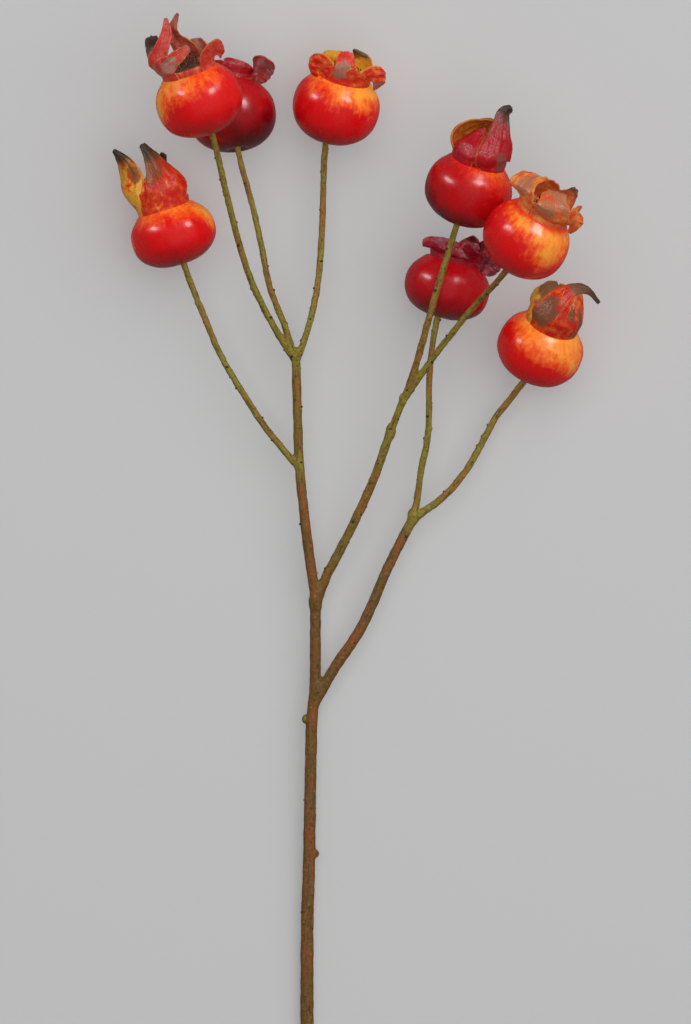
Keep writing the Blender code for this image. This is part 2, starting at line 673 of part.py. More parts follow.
def centre(root, nodes):
    """Moves the whole sprig so that the origin is under the middle of its bounding box."""
    bpy.context.view_layer.update()
    graph = bpy.context.evaluated_depsgraph_get()
    corners = []
    for node in nodes:
        evaluated = node.evaluated_get(graph)
        corners += [evaluated.matrix_world @ vertex.co for vertex in evaluated.data.vertices]
    for axis in (0, 1):
        spread = [corner[axis] for corner in corners]
        root.location[axis] = -(min(spread) + max(spread)) / 2


def main():
    clear_scene()
    collection = new_collection("rose_hip_sprig", bpy.context.scene.collection)
    cutters = new_collection("cutters", bpy.context.scene.collection)
    materials = {name: make_material(name, **looks) for name, looks in SKINS.items()}
    surface = build_surface(cutters)
    nodes = [build_stem(surface, collection, materials["stem"])]
    for number, hip in HIPS.items():
        nodes.append(build_hip(number, hip, surface, collection, materials[hip["skin"]]))
        nodes.append(build_calyx(number, hip, collection, materials["calyx"]))
        nodes.append(build_stamens(number, hip, collection, materials["stamens"]))
    root = bpy.data.objects.new("sprig", None)
    collection.objects.link(root)
    for node in nodes:
        node.parent = root
    centre(root, nodes)


main()
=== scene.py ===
import math

import bmesh
import bpy
import numpy as np
from mathutils import Matrix, Vector, noise
from mathutils.bvhtree import BVHTree
from mathutils.kdtree import KDTree


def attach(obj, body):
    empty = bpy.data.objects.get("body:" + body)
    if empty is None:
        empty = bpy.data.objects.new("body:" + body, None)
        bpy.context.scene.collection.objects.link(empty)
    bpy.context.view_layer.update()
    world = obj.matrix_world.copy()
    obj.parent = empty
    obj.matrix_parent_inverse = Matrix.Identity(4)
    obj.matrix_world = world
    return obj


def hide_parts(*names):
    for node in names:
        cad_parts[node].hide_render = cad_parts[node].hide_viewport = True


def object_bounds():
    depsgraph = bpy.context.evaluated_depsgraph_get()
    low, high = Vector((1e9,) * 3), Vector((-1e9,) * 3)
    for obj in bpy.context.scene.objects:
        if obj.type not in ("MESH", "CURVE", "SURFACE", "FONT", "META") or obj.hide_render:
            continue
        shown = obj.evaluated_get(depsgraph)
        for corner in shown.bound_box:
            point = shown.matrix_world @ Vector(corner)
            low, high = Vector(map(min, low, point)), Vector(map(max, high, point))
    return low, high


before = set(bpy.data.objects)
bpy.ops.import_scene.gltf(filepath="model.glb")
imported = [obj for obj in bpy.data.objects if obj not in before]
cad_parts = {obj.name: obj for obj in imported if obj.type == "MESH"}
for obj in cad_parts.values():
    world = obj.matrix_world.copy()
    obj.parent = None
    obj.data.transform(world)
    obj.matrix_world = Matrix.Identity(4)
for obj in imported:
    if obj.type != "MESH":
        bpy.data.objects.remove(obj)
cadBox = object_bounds()
mm = 0.001


def linear(hexColour):
    channels = [int(hexColour[i : i + 2], 16) / 255 for i in (1, 3, 5)]
    return (*[c / 12.92 if c <= 0.04045 else ((c + 0.055) / 1.055) ** 2.4 for c in channels], 1)


def addNode(tree, kind, inputs, **settings):
    # inputs maps a socket's name or number to another node's socket, or to a value
    node = tree.nodes.new(kind)
    for name, value in settings.items():
        setattr(node, name, value)
    for key, value in inputs.items():
        if isinstance(value, bpy.types.NodeSocket):
            tree.links.new(value, node.inputs[key])
        else:
            node.inputs[key].default_value = value
    return node


def addObject(name, data):
    made = bpy.data.objects.new(name, data)
    bpy.context.scene.collection.objects.link(made)
    return made


def newTree(name, given):
    # given maps each input's name to its socket type
    tree = bpy.data.node_groups.new(name, "GeometryNodeTree")
    for label, kind in given.items():
        tree.interface.new_socket(label, in_out="INPUT", socket_type="NodeSocket" + kind)
    tree.interface.new_socket("made", in_out="OUTPUT", socket_type="NodeSocketGeometry")
    return tree, tree.nodes.new("NodeGroupInput").outputs


def closeTree(tree, geometry, material):
    smooth = addNode(tree, "GeometryNodeSetShadeSmooth", {0: geometry})
    real = addNode(tree, "GeometryNodeRealizeInstances", {0: smooth.outputs[0]})
    dressed = addNode(tree, "GeometryNodeSetMaterial", {0: real.outputs[0], "Material": material})
    addNode(tree, "NodeGroupOutput", {0: dressed.outputs[0]})


def grow(name, tree, values, mesh=None):
    # runs a tree once and keeps what it makes as a plain mesh
    source = addObject(name + "Source", mesh or bpy.data.meshes.new(name + "Source"))
    modifier = source.modifiers.new("grow", "NODES")
    modifier.node_group = tree
    for item in tree.interface.items_tree:
        if item.name in values:
            modifier[item.identifier] = values[item.name]
    graph = bpy.context.evaluated_depsgraph_get()
    made = bpy.data.meshes.new_from_object(
        source.evaluated_get(graph), preserve_all_data_layers=True, depsgraph=graph
    )
    bpy.data.objects.remove(source)
    made.name = name
    return addObject(name, made)


def standIn(piece, node):
    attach(piece, "root")
    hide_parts(node)


def newMaterial(name):
    material = bpy.data.materials.new(name)
    material.use_nodes = True
    return material, material.node_tree, material.node_tree.nodes["Principled BSDF"]


# middle is in mm. lean is to the right and pitch is up from the surface, both in degrees.
# flushFrom is how far up the hip the orange flush starts, as a share of its radius, and flushTilt
# moves that to the right and up from the surface. patches are flushed too: their place in mm, as right, down
# and along, their reach and how strong they are. The patches at the left rims of hips 1 and 2 are partly
# orange flush and partly painted reflection, a pale sheen of light along the rim.
hips = {
    1: dict(
        middle=(-56.85, 98.34, 13.1), lean=-18, pitch=6, halfHeight=9.7,
        skin="#D6090B", deepAndShade="#A4080B", flush="#F25418", glow="#F99A2C", flushFrom=0.35,
        # the second patch, at the left rim, is partly flush and partly painted reflection, a pale sheen
        flushTilt=(0.1, 0.06), patches=[((12, -4, 1), 8, 0.8), ((-12.8, -2, 0), 5, 1.2)],
        speckle=0.6, collarShade=0.0, dots=0.0,
    ),
    2: dict(
        middle=(-48.35, 138.84, 38), lean=-19, pitch=14, halfHeight=10.9,
        skin="#D80B0D", deepAndShade="#B4090C", flush="#F0561A", glow="#F8962E", flushFrom=0.36,
        # the patch at the left rim is partly flush and partly painted reflection, a pale sheen
        flushTilt=(-0.22, 0.08), patches=[((-12.8, -3, 1), 7, 0.9)], speckle=0.75, collarShade=0.2, dots=0.0,
    ),
    3: dict(
        middle=(-38.35, 135.34, 13.14), lean=-8, pitch=-10, halfHeight=11.2,
        skin="#AC060D", deepAndShade="#5C0308", flush="#B80A10", glow="#C01414", flushFrom=0.5,
        flushTilt=(-0.4, 0), patches=[], speckle=0.3, collarShade=0.0, dots=0.0,
    ),
    4: dict(
        middle=(-6.35, 137.84, 13.13), lean=15, pitch=19, halfHeight=11.3,
        skin="#D60A0D", deepAndShade="#A2070D", flush="#F4601C", glow="#FA9E30", flushFrom=0.36,
        flushTilt=(0.18, 0.1), patches=[((8, -2, 10), 6, 0.6)], speckle=0.7, collarShade=0.0, dots=0.0,
    ),
    5: dict(
        middle=(34.65, 111.34, 33), lean=18, pitch=18, halfHeight=10.9,
        skin="#B4060C", deepAndShade="#560307", flush="#D6240E", glow="#F0641C", flushFrom=0.5,
        # the flush tilted to the right is partly painted light on that side, and the deeper red to the lower left
        # partly painted shade
        flushTilt=(0.32, 0.1), patches=[], speckle=0.5, collarShade=0.0, dots=0.0,
    ),
    6: dict(
        middle=(52.15, 95.84, 46), lean=31, pitch=21, halfHeight=11.2,
        skin="#D60C0B", deepAndShade="#C0090A", flush="#F0581A", glow="#F89A34", flushFrom=0.3,
        flushTilt=(0.24, 0.2), patches=[((7, -9, 0), 8, 0.35)], speckle=0.7, collarShade=0.85, dots=0.15,
    ),
    7: dict(
        middle=(28.15, 81.84, 13.1), lean=16, pitch=4, halfHeight=9.7,
        skin="#AE0711", deepAndShade="#6C030A", flush="#B60A14", glow="#BE1016", flushFrom=0.5,
        flushTilt=(-0.1, 0.1), patches=[], speckle=0.3, collarShade=0.0, dots=0.0,
    ),
    8: dict(
        middle=(57.15, 62.84, 12.89), lean=24, pitch=27, halfHeight=10.5,
        skin="#D80F0B", deepAndShade="#C40B0B", flush="#F2601C", glow="#FAA03A", flushFrom=0.3,
        flushTilt=(0.16, 0.2), patches=[((12, -5, 0), 6, 0.5)], speckle=0.62, collarShade=0.1, dots=1.0,
    ),
}
hipForm = dict(
    radius=13.4, fullness=0.88, neckRadius=8.4, neckRise=0.5, shoulder=2.4,
    dimpleRadius=4.2, dimpleDepth=0.9, unevenness=0.05, segments=112, rings=72,
)


def hipTurn(hip):
    # from the hip's own axes, right, down and along, to the part's
    lean = math.radians(hip["lean"])
    pitch = math.radians(hip["pitch"])
    right = Vector((math.cos(lean), -math.sin(lean), 0))
    along = Vector((math.sin(lean) * math.cos(pitch), math.cos(lean) * math.cos(pitch), math.sin(pitch)))
    return Matrix((right, along.cross(right), along)).transposed()


def sidePoint(halfHeight, radius):
    angle = math.acos((radius / hipForm["radius"]) ** (1 / hipForm["fullness"]))
    return halfHeight * math.sin(angle) ** hipForm["fullness"]


def hipTree():
    # a ball whose rings are moved onto the hip's turned outline, with a neck, a dimple and slight lobes
    tree, given = newTree("hipBody", {
        "halfHeight": "Float", "neckHeight": "Float", "radius": "Float", "fullness": "Float",
        "neckRadius": "Float", "neckRise": "Float", "shoulder": "Float", "dimpleRadius": "Float",
        "dimpleDepth": "Float", "unevenness": "Float", "segments": "Int", "rings": "Int",
        "seed": "Vector", "place": "Vector", "turn": "Vector", "skin": "Material",
    })
    ball = addNode(tree, "GeometryNodeMeshUVSphere", {"Segments": given["segments"], "Rings": given["rings"]})
    spot = tree.nodes.new("GeometryNodeInputPosition").outputs[0]
    xyz = addNode(tree, "ShaderNodeSeparateXYZ", {0: spot}).outputs
    flat = addNode(tree, "ShaderNodeCombineXYZ", {0: xyz[0], 1: xyz[1]}).outputs[0]
    away = addNode(tree, "ShaderNodeVectorMath", {0: flat}, operation="LENGTH").outputs["Value"]
    away = addNode(tree, "ShaderNodeMath", {0: away, 1: 1e-4}, operation="MAXIMUM").outputs[0]
    ring = addNode(tree, "ShaderNodeMath", {0: away, 1: given["fullness"]}, operation="POWER").outputs[0]
    ring = addNode(tree, "ShaderNodeMath", {0: ring, 1: given["radius"]}, operation="MULTIPLY").outputs[0]
    high = addNode(tree, "ShaderNodeMath", {0: xyz[2]}, operation="ABSOLUTE").outputs[0]
    sign = addNode(tree, "ShaderNodeMath", {0: xyz[2]}, operation="SIGN").outputs[0]
    for other, how in ((given["fullness"], "POWER"), (sign, "MULTIPLY"), (given["halfHeight"], "MULTIPLY")):
        high = addNode(tree, "ShaderNodeMath", {0: high, 1: other}, operation=how).outputs[0]

    # slight lobes, the same all the way up
    lobes = addNode(tree, "ShaderNodeVectorMath", {0: flat, 1: given["seed"]}, operation="ADD").outputs[0]
    wave = addNode(tree, "ShaderNodeTexNoise", {"Vector": lobes, "Scale": 1.7, "Detail": 1.0}).outputs[0]
    wave = addNode(tree, "ShaderNodeMapRange", {0: wave, 1: 0.2, 2: 0.8, 3: -0.5, 4: 0.5}).outputs[0]
    swell = addNode(tree, "ShaderNodeMath", {
        0: wave, 1: given["unevenness"], 2: 1.0,
    }, operation="MULTIPLY_ADD")
    ring = addNode(tree, "ShaderNodeMath", {0: ring, 1: swell.outputs[0]}, operation="MULTIPLY").outputs[0]

    # the shoulder rises into the neck, and the neck is level
    foot = addNode(tree, "ShaderNodeMath", {0: given["neckRadius"], 1: given["shoulder"]}, operation="ADD")
    rise = addNode(tree, "ShaderNodeMapRange", {
        0: ring, 1: foot.outputs[0], 2: given["neckRadius"], 4: given["neckRise"],
    }, interpolation_type="SMOOTHSTEP").outputs[0]
    top = addNode(tree, "ShaderNodeMath", {0: xyz[2], 1: 0.0}, operation="GREATER_THAN").outputs[0]
    rise = addNode(tree, "ShaderNodeMath", {0: rise, 1: top}, operation="MULTIPLY").outputs[0]
    high = addNode(tree, "ShaderNodeMath", {0: high, 1: rise}, operation="ADD").outputs[0]
    level = addNode(tree, "ShaderNodeMath", {0: given["neckHeight"], 1: given["neckRise"]}, operation="ADD")
    high = addNode(tree, "ShaderNodeMath", {0: high, 1: level.outputs[0]}, operation="MINIMUM").outputs[0]

    # the dimple round the pedicel
    sink = addNode(tree, "ShaderNodeMapRange", {
        0: ring, 1: given["dimpleRadius"], 2: 0.8, 4: given["dimpleDepth"],
    }, interpolation_type="SMOOTHSTEP").outputs[0]
    under = addNode(tree, "ShaderNodeMath", {0: 1.0, 1: top}, operation="SUBTRACT").outputs[0]
    sink = addNode(tree, "ShaderNodeMath", {0: sink, 1: under}, operation="MULTIPLY").outputs[0]
    high = addNode(tree, "ShaderNodeMath", {0: high, 1: sink}, operation="ADD").outputs[0]

    out = addNode(tree, "ShaderNodeMath", {0: ring, 1: away}, operation="DIVIDE").outputs[0]
    side = addNode(tree, "ShaderNodeVectorMath", {0: flat, "Scale": out}, operation="SCALE").outputs[0]
    up = addNode(tree, "ShaderNodeCombineXYZ", {2: high}).outputs[0]
    there = addNode(tree, "ShaderNodeVectorMath", {0: side, 1: up}, operation="ADD").outputs[0]
    body = addNode(tree, "GeometryNodeSetPosition", {0: ball.outputs[0], "Position": there}).outputs[0]
    body = addNode(tree, "GeometryNodeStoreNamedAttribute", {
        0: body, "Name": "skinPlace", "Value": spot,
    }, data_type="FLOAT_VECTOR").outputs[0]
    body = addNode(tree, "GeometryNodeTransform", {
        0: body, "Translation": given["place"], "Rotation": given["turn"], "Scale": (mm, mm, mm),
    }).outputs[0]

    # pressed flat where it lies on the surface
    world = addNode(tree, "ShaderNodeVectorMath", {0: spot, 1: (-9.0, -9.0, 0.0)}, operation="MAXIMUM")
    body = addNode(tree, "GeometryNodeSetPosition", {0: body, "Position": world.outputs[0]}).outputs[0]
    closeTree(tree, body, given["skin"])
    return tree


def hipSkin(number, look):
    # ripe hip skin, smooth and waxy: a clear gloss, with the colour in streaks that run from neck to base
    material, tree, shader = newMaterial(f"ripeHipSkin{number}")
    size = hipForm["radius"]
    place = addNode(tree, "ShaderNodeAttribute", {}, attribute_name="skinPlace").outputs["Vector"]
    shift = addNode(tree, "ShaderNodeVectorMath", {0: place, 1: (number * 37.0, 0, 0)}, operation="ADD")
    shift = shift.outputs[0]

    # how far up the hip a place is, tilted so that the flush lies more to one side
    tiltRight, tiltUp = look["flushTilt"]
    lift = addNode(tree, "ShaderNodeVectorMath", {
        0: place, 1: (tiltRight / size, -tiltUp / size, 1 / size),
    }, operation="DOT_PRODUCT").outputs["Value"]

    # streaks about 1 mm wide: noise on the direction round the axis, drawn out along it
    around = addNode(tree, "ShaderNodeVectorMath", {0: place, 1: (1, 1, 0)}, operation="MULTIPLY").outputs[0]
    around = addNode(tree, "ShaderNodeVectorMath", {0: around}, operation="NORMALIZE").outputs[0]
    around = addNode(tree, "ShaderNodeVectorMath", {0: around, "Scale": 13.0}, operation="SCALE").outputs[0]
    drawn = addNode(tree, "ShaderNodeVectorMath", {0: place, 1: (0, 0, 0.22)}, operation="MULTIPLY")
    drawn = addNode(tree, "ShaderNodeVectorMath", {
        0: around, 1: drawn.outputs[0],
    }, operation="ADD").outputs[0]
    drawn = addNode(tree, "ShaderNodeVectorMath", {0: drawn, 1: (number * 11.0, 3, 0)}, operation="ADD")
    streak = addNode(tree, "ShaderNodeTexNoise", {
        "Vector": drawn.outputs[0], "Scale": 1.0, "Detail": 4.0, "Roughness": 0.62,
    }).outputs[0]
    cloud = addNode(tree, "ShaderNodeTexNoise", {"Vector": shift, "Scale": 0.16, "Detail": 2.0}).outputs[0]
    fleck = addNode(tree, "ShaderNodeTexNoise", {
        "Vector": shift, "Scale": 0.6, "Detail": 4.0, "Roughness": 0.65,
    }).outputs[0]

    field = lift
    # flushed patches; those at the left rims of hips 1 and 2 are partly painted reflection, a pale sheen along the
    # rim
    for centre, reach, strength in look["patches"]:
        near = addNode(tree, "ShaderNodeVectorMath", {
            0: place, 1: centre,
        }, operation="DISTANCE").outputs["Value"]
        near = addNode(tree, "ShaderNodeMapRange", {0: near, 1: reach, 2: 0.0, 4: strength}).outputs[0]
        field = addNode(tree, "ShaderNodeMath", {0: field, 1: near}, operation="ADD").outputs[0]
    for texture, share in ((streak, 0.8), (fleck, 0.9), (cloud, 0.9)):
        centred = addNode(tree, "ShaderNodeMath", {0: texture, 1: 0.5}, operation="SUBTRACT").outputs[0]
        field = addNode(tree, "ShaderNodeMath", {
            0: centred, 1: share * look["speckle"], 2: field,
        }, operation="MULTIPLY_ADD").outputs[0]
    level = look["flushFrom"]
    flushed = addNode(tree, "ShaderNodeMapRange", {
        0: field, 1: level - 0.08, 2: level + 0.3,
    }, interpolation_type="SMOOTHSTEP").outputs[0]
    glowing = addNode(tree, "ShaderNodeMapRange", {
        0: field, 1: level + 0.16, 2: level + 0.6,
    }, interpolation_type="SMOOTHSTEP").outputs[0]

    # the skin is a deeper red towards the base and in slow clouds; the darkening towards the base is partly the
    # skin's own colour and partly painted shade
    deepAndShadeShare = addNode(tree, "ShaderNodeMath", {0: cloud, 1: 0.8, 2: lift}, operation="MULTIPLY_ADD").outputs[0]
    deepAndShadeShare = addNode(tree, "ShaderNodeMapRange", {
        0: deepAndShadeShare, 1: -0.5, 2: 0.4,
    }, interpolation_type="SMOOTHSTEP").outputs[0]
    base = addNode(tree, "ShaderNodeMix", {
        0: deepAndShadeShare, 6: linear(look["deepAndShade"]), 7: linear(look["skin"]),
    }, data_type="RGBA").outputs[2]
    warm = addNode(tree, "ShaderNodeMix", {
        0: glowing, 6: linear(look["flush"]), 7: linear(look["glow"]),
    }, data_type="RGBA").outputs[2]
    colour = addNode(tree, "ShaderNodeMix", {0: flushed, 6: base, 7: warm}, data_type="RGBA").outputs[2]

    # painted shade under the calyx: the skin turns back to its red right under the calyx, where the calyx shades it,
    # as far as the collar value says
    flat = addNode(tree, "ShaderNodeVectorMath", {0: place, 1: (1, 1, 0)}, operation="MULTIPLY").outputs[0]
    away = addNode(tree, "ShaderNodeVectorMath", {0: flat}, operation="LENGTH").outputs["Value"]
    away = addNode(tree, "ShaderNodeMath", {0: fleck, 1: 1.5, 2: away}, operation="MULTIPLY_ADD").outputs[0]
    rim = addNode(tree, "ShaderNodeMapRange", {
        0: away, 1: 11.4, 2: 9.6, 4: look["collarShade"],
    }, interpolation_type="SMOOTHSTEP").outputs[0]
    upper = addNode(tree, "ShaderNodeMath", {0: lift, 1: 0.3}, operation="GREATER_THAN").outputs[0]
    rim = addNode(tree, "ShaderNodeMath", {0: rim, 1: upper}, operation="MULTIPLY").outputs[0]
    colour = addNode(tree, "ShaderNodeMix", {
        0: rim, 6: colour, 7: linear(look["skin"]),
    }, data_type="RGBA").outputs[2]

    # breathing pores: dark dots a third of a millimetre wide, some 2 mm apart
    cells = addNode(tree, "ShaderNodeTexVoronoi", {"Vector": shift, "Scale": 0.55}).outputs
    pore = addNode(tree, "ShaderNodeMapRange", {
        0: cells["Distance"], 1: 0.06, 2: 0.13, 3: 1.0, 4: 0.0,
    }).outputs[0]
    some = addNode(tree, "ShaderNodeMath", {0: cells["Color"], 1: 0.62}, operation="GREATER_THAN").outputs[0]
    for share in (some, flushed, look["dots"] * 0.8):
        pore = addNode(tree, "ShaderNodeMath", {0: pore, 1: share}, operation="MULTIPLY").outputs[0]
    colour = addNode(tree, "ShaderNodeMix", {
        0: pore, 6: colour, 7: linear("#8A2A18"),
    }, data_type="RGBA").outputs[2]
    tree.links.new(colour, shader.inputs["Base Color"])

    # waxy bloom breaks the gloss a little, and the skin is finely dimpled at about 0.6 mm
    gloss = addNode(tree, "ShaderNodeMapRange", {0: fleck, 1: 0.3, 2: 0.7, 3: 0.2, 4: 0.32}).outputs[0]
    tree.links.new(gloss, shader.inputs["Roughness"])
    grain = addNode(tree, "ShaderNodeTexNoise", {"Vector": shift, "Scale": 1.6, "Detail": 2.0}).outputs[0]
    bump = addNode(tree, "ShaderNodeBump", {"Height": grain, "Strength": 0.25, "Distance": 0.06 * mm})
    tree.links.new(bump.outputs[0], shader.inputs["Normal"])
    shader.inputs["IOR"].default_value = 1.45
    shader.inputs["Coat Weight"].default_value = 0.1
    shader.inputs["Coat Roughness"].default_value = 0.12
    shader.inputs["Subsurface Weight"].default_value = 0.06
    shader.inputs["Subsurface Radius"].default_value = (1.0, 0.25, 0.1)
    shader.inputs["Subsurface Scale"].default_value = 1.5 * mm
    return material


hipBody = hipTree()
for number, hip in hips.items():
    piece = grow(f"ripeHip{number}", hipBody, {
        **hipForm,
        "halfHeight": hip["halfHeight"],
        "neckHeight": sidePoint(hip["halfHeight"], hipForm["neckRadius"]),
        "seed": (number * 7.3, number * 3.1, 0.0),
        "place": Vector(hip["middle"]) * mm,
        "turn": Vector(hipTurn(hip).to_euler()),
        "skin": hipSkin(number, hip),
    })
    standIn(piece, f"hip_{number}")
print("hips grown:", len(hips))


# Each sepal: azimuth round the neck, bend of its cross-section and turn about its own length, in degrees,
# and its path from the middle of the neck in mm, as (right, along the axis, up, width).
sepals = {
    1: [
        (20, 70, 0, [(3.5, 7, 8, 14), (2.5, 12.5, 6, 10), (1.2, 17.5, 3.5, 5.5), (-0.8, 22, 1, 1.8)]),
        (-80, 50, 50, [(-9, 7.5, 2, 10.5), (-7.2, 13, 2, 8.5), (-7.5, 17.5, 1.5, 5.5), (-9.5, 23, 1.5, 0.9)]),
        (-35, 60, 0, [(-3.5, 7, 7.5, 8.5), (-3, 10.5, 5.5, 3)]),
        (140, 50, 0, [(5, 5, -6, 9), (4, 10, -5.5, 5.5), (4, 14.5, -4.5, 2.8), (4.8, 17, -3, 1.8)]),
        (-145, 50, 0, [(-3.5, 6.5, -6, 9), (-1.5, 10.5, -5, 5), (0, 13, -4, 2)]),
    ],
    2: [
        (62, 40, -50, [(8.8, 4.2, 6, 10), (10.6, 4.8, 6, 9.5), (12.6, 5, 5.5, 8)]),
        (150, 50, 0, [(4, 4.5, -6.5, 11), (4, 9, -6.5, 8)]),
        (-60, -20, 30, [(-7.2, 4.4, 5, 7.5), (-4.5, 6.2, 6.2, 5), (-1, 7.6, 6.4, 3.8), (2.6, 8.9, 5.2, 2)]),
        (-85, -30, 60, [(-9.5, 5.5, 1.5, 7), (-6.5, 9.5, 1.5, 5), (-3, 14, 0, 3.6), (-1.5, 18.5, -2, 0.9)]),
        (-120, 60, -50, [(-8, 6, -4, 7), (-8, 10.5, -4.5, 5), (-7.4, 14.5, -4.5, 4.6)]),
        (175, 50, 0, [(1, 6, -6.5, 8), (-0.5, 10, -6.5, 5), (-0.5, 14, -5.5, 3), (2.5, 18, -5.5, 0.9)]),
    ],
    3: [
        (30, 60, -10, [(4.8, 4, 8, 12), (5.4, 5.6, 7.6, 11)]),
        (66, 15, 50, [(9, 3, 5.4, 9), (11.4, 1.6, 5.8, 8.5), (13.6, -0.4, 5.2, 7)]),
        (150, 50, 0, [(4, 4, -7, 10), (4.5, 6, -6, 7)]),
        (-30, 60, 0, [(-4, 4.5, 7, 11), (-3, 7.5, 6, 7)]),
        (-100, 50, 0, [(-8.5, 4, -1, 10), (-8, 7, -1, 5)]),
    ],
    4: [
        (-52, 30, 50, [(-7.8, 3.7, 5.8, 9), (-9.6, 3.4, 5.3, 8), (-11.6, 3.2, 4.2, 6)]),
        (4, 30, 0, [(0.2, 4.5, 9, 8), (-0.4, 7, 8.7, 6.2), (-1.2, 10.8, 5.2, 5.2)]),
        (58, 30, -60, [(8.2, 3.9, 5.7, 9), (10.4, 4.6, 5.3, 8.5), (12.9, 5.2, 4.4, 6.5)]),
        (-27, 60, 0, [(-4.2, 3.8, 7.6, 10), (-5, 5.2, 7.6, 8.5)]),
        (32, 60, 0, [(4.9, 3.6, 7.4, 10), (5.8, 5.2, 7.4, 8.5)]),
        (143, 50, 0, [(5, 4, -6.5, 11), (4.5, 6.5, -6.5, 8), (2, 8.5, -5, 2.5), (5.5, 8, -3, 2)]),
        (-140, 50, 0, [(-5, 4, -6, 11), (-5.5, 6.5, -6.5, 9)]),
    ],
    5: [
        (40, 70, -25, [
            (5, 4.5, 7.5, 13), (4.5, 9, 5.5, 11), (3.5, 14, 2.5, 6), (3, 18, 0, 4), (5, 20, -1.5, 1.8),
        ]),
        (-43, 50, 0, [(-5.6, 3.5, 6, 12), (-4.8, 6.5, 5.2, 10), (-3.2, 9, 2.6, 5.5), (-0.8, 11.5, 0.5, 1.5)]),
        (-105, 60, -20, [
            (-9, 4, -2.5, 10), (-9, 7, -3, 8.5), (-6, 10.3, -3.5, 6.5), (-1.5, 12.6, -3.5, 4), (1.5, 13.5, -3, 1.5),
        ]),
        (175, 50, 0, [(0, 4, -7.5, 11), (-0.8, 8, -7, 9), (-0.8, 11.5, -5, 6.5), (2, 13.5, -3.5, 2.5)]),
        (100, 50, 0, [(8, 4.5, -1.5, 9), (8, 6.5, -2, 6.5), (8, 8, -3, 3)]),
    ],
    6: [
        (-58, -20, 45, [(-8, 4, 5.5, 11), (-9.3, 6, 6, 11), (-9, 8.5, 4, 9.5), (-7, 10, 0.5, 7), (-4.5, 9, -2, 4)]),
        (-155, 50, 0, [(-3, 5, -6.5, 11), (-1.5, 7, -7, 8), (1, 8.5, -6, 5)]),
        (150, 50, 0, [(4, 5, -6.5, 8), (5, 8.5, -5.5, 5), (5.5, 11.5, -4.5, 2.8)]),
        (98, 50, -20, [(8.3, 4, -1, 10), (9, 6.3, -1.5, 8), (9, 8.5, -2, 4.5)]),
        (60, 30, -50, [(8.5, 3.8, 5, 10), (10.5, 4.8, 4, 8), (12.5, 5.5, 3, 2)]),
        (12, 40, 0, [(2.2, 4, 9.5, 13), (2.2, 6.8, 10, 11), (0.6, 8.9, 8, 9), (-2, 9.6, 4, 7)]),
    ],
    7: [
        (-32, 30, 32, [(-5, 3.6, 8, 12), (-5.4, 5.2, 8, 12), (-5.6, 7, 7.4, 11.5)]),
        (4, 100, 0, [(0.6, 3, 9.4, 15), (0.8, 5, 8.8, 15)]),
        (44, 40, -20, [(5.2, 4.8, 7, 11), (5, 6, 6.4, 10.5), (4.8, 8, 5.4, 9)]),
        (80, 30, 50, [(9.5, 2.6, 2, 8), (11.5, 1.8, 2.6, 7), (14, 0.4, 3, 4.5)]),
        (42, 220, 0, [(6.2, 4.8, 9, 10), (7.6, 5.6, 11.2, 10)]),
        (145, 50, 0, [(4.5, 4, -6, 11), (5.5, 6.5, -5, 8), (6.5, 7.5, -3, 5)]),
        (-150, 50, 0, [(-4, 4, -6.5, 11), (-4, 6.5, -6, 9)]),
    ],
    8: [
        (-15, 50, 0, [
            (-2, 5, 8, 12), (-1.2, 10, 6.2, 10), (0.8, 13.8, 2.4, 6.5), (2.6, 15.3, 0, 4.6), (6.5, 15.5, -1.5, 2.8),
            (11, 12.5, -2, 1),
        ]),
        (-80, 60, 30, [(-7.5, 4.5, 1, 11), (-7, 8, -1, 9), (-5.5, 11, -3, 5), (-3, 12.5, -3.5, 3)]),
        (65, 60, 0, [(7.5, 5.5, 3, 11), (6.5, 9.5, 0.5, 8), (4.5, 12.5, -2, 5), (1.5, 14.5, -3, 2)]),
        (28, 50, 0, [(4.5, 5, 7.5, 9), (4, 8.5, 6, 7), (2.5, 10.5, 4, 3)]),
        (175, 50, 0, [(0, 4.5, -7, 10), (-1, 8.5, -6.5, 6), (-1.5, 12, -6, 3)]),
    ],
}
calyxForm = dict(
    rootRadius=8.25, rootHeight=2.0, rootArc=66, baseRadius=8.15, baseHeight=-0.1,
    rows=46, columns=21, thickness=0.75, edgeThickness=0.5, ripple=0.45, keel=0.14, fold=0.4,
    roundness=0.3, fray=0.04, cupRadius=7.75, cupFlare=0.6, cupHeight=2.5, cupWall=1.2, cupFloor=1.2,
    cupSteps=72, leadSteps=10, pathSteps=60, seed=21,
)
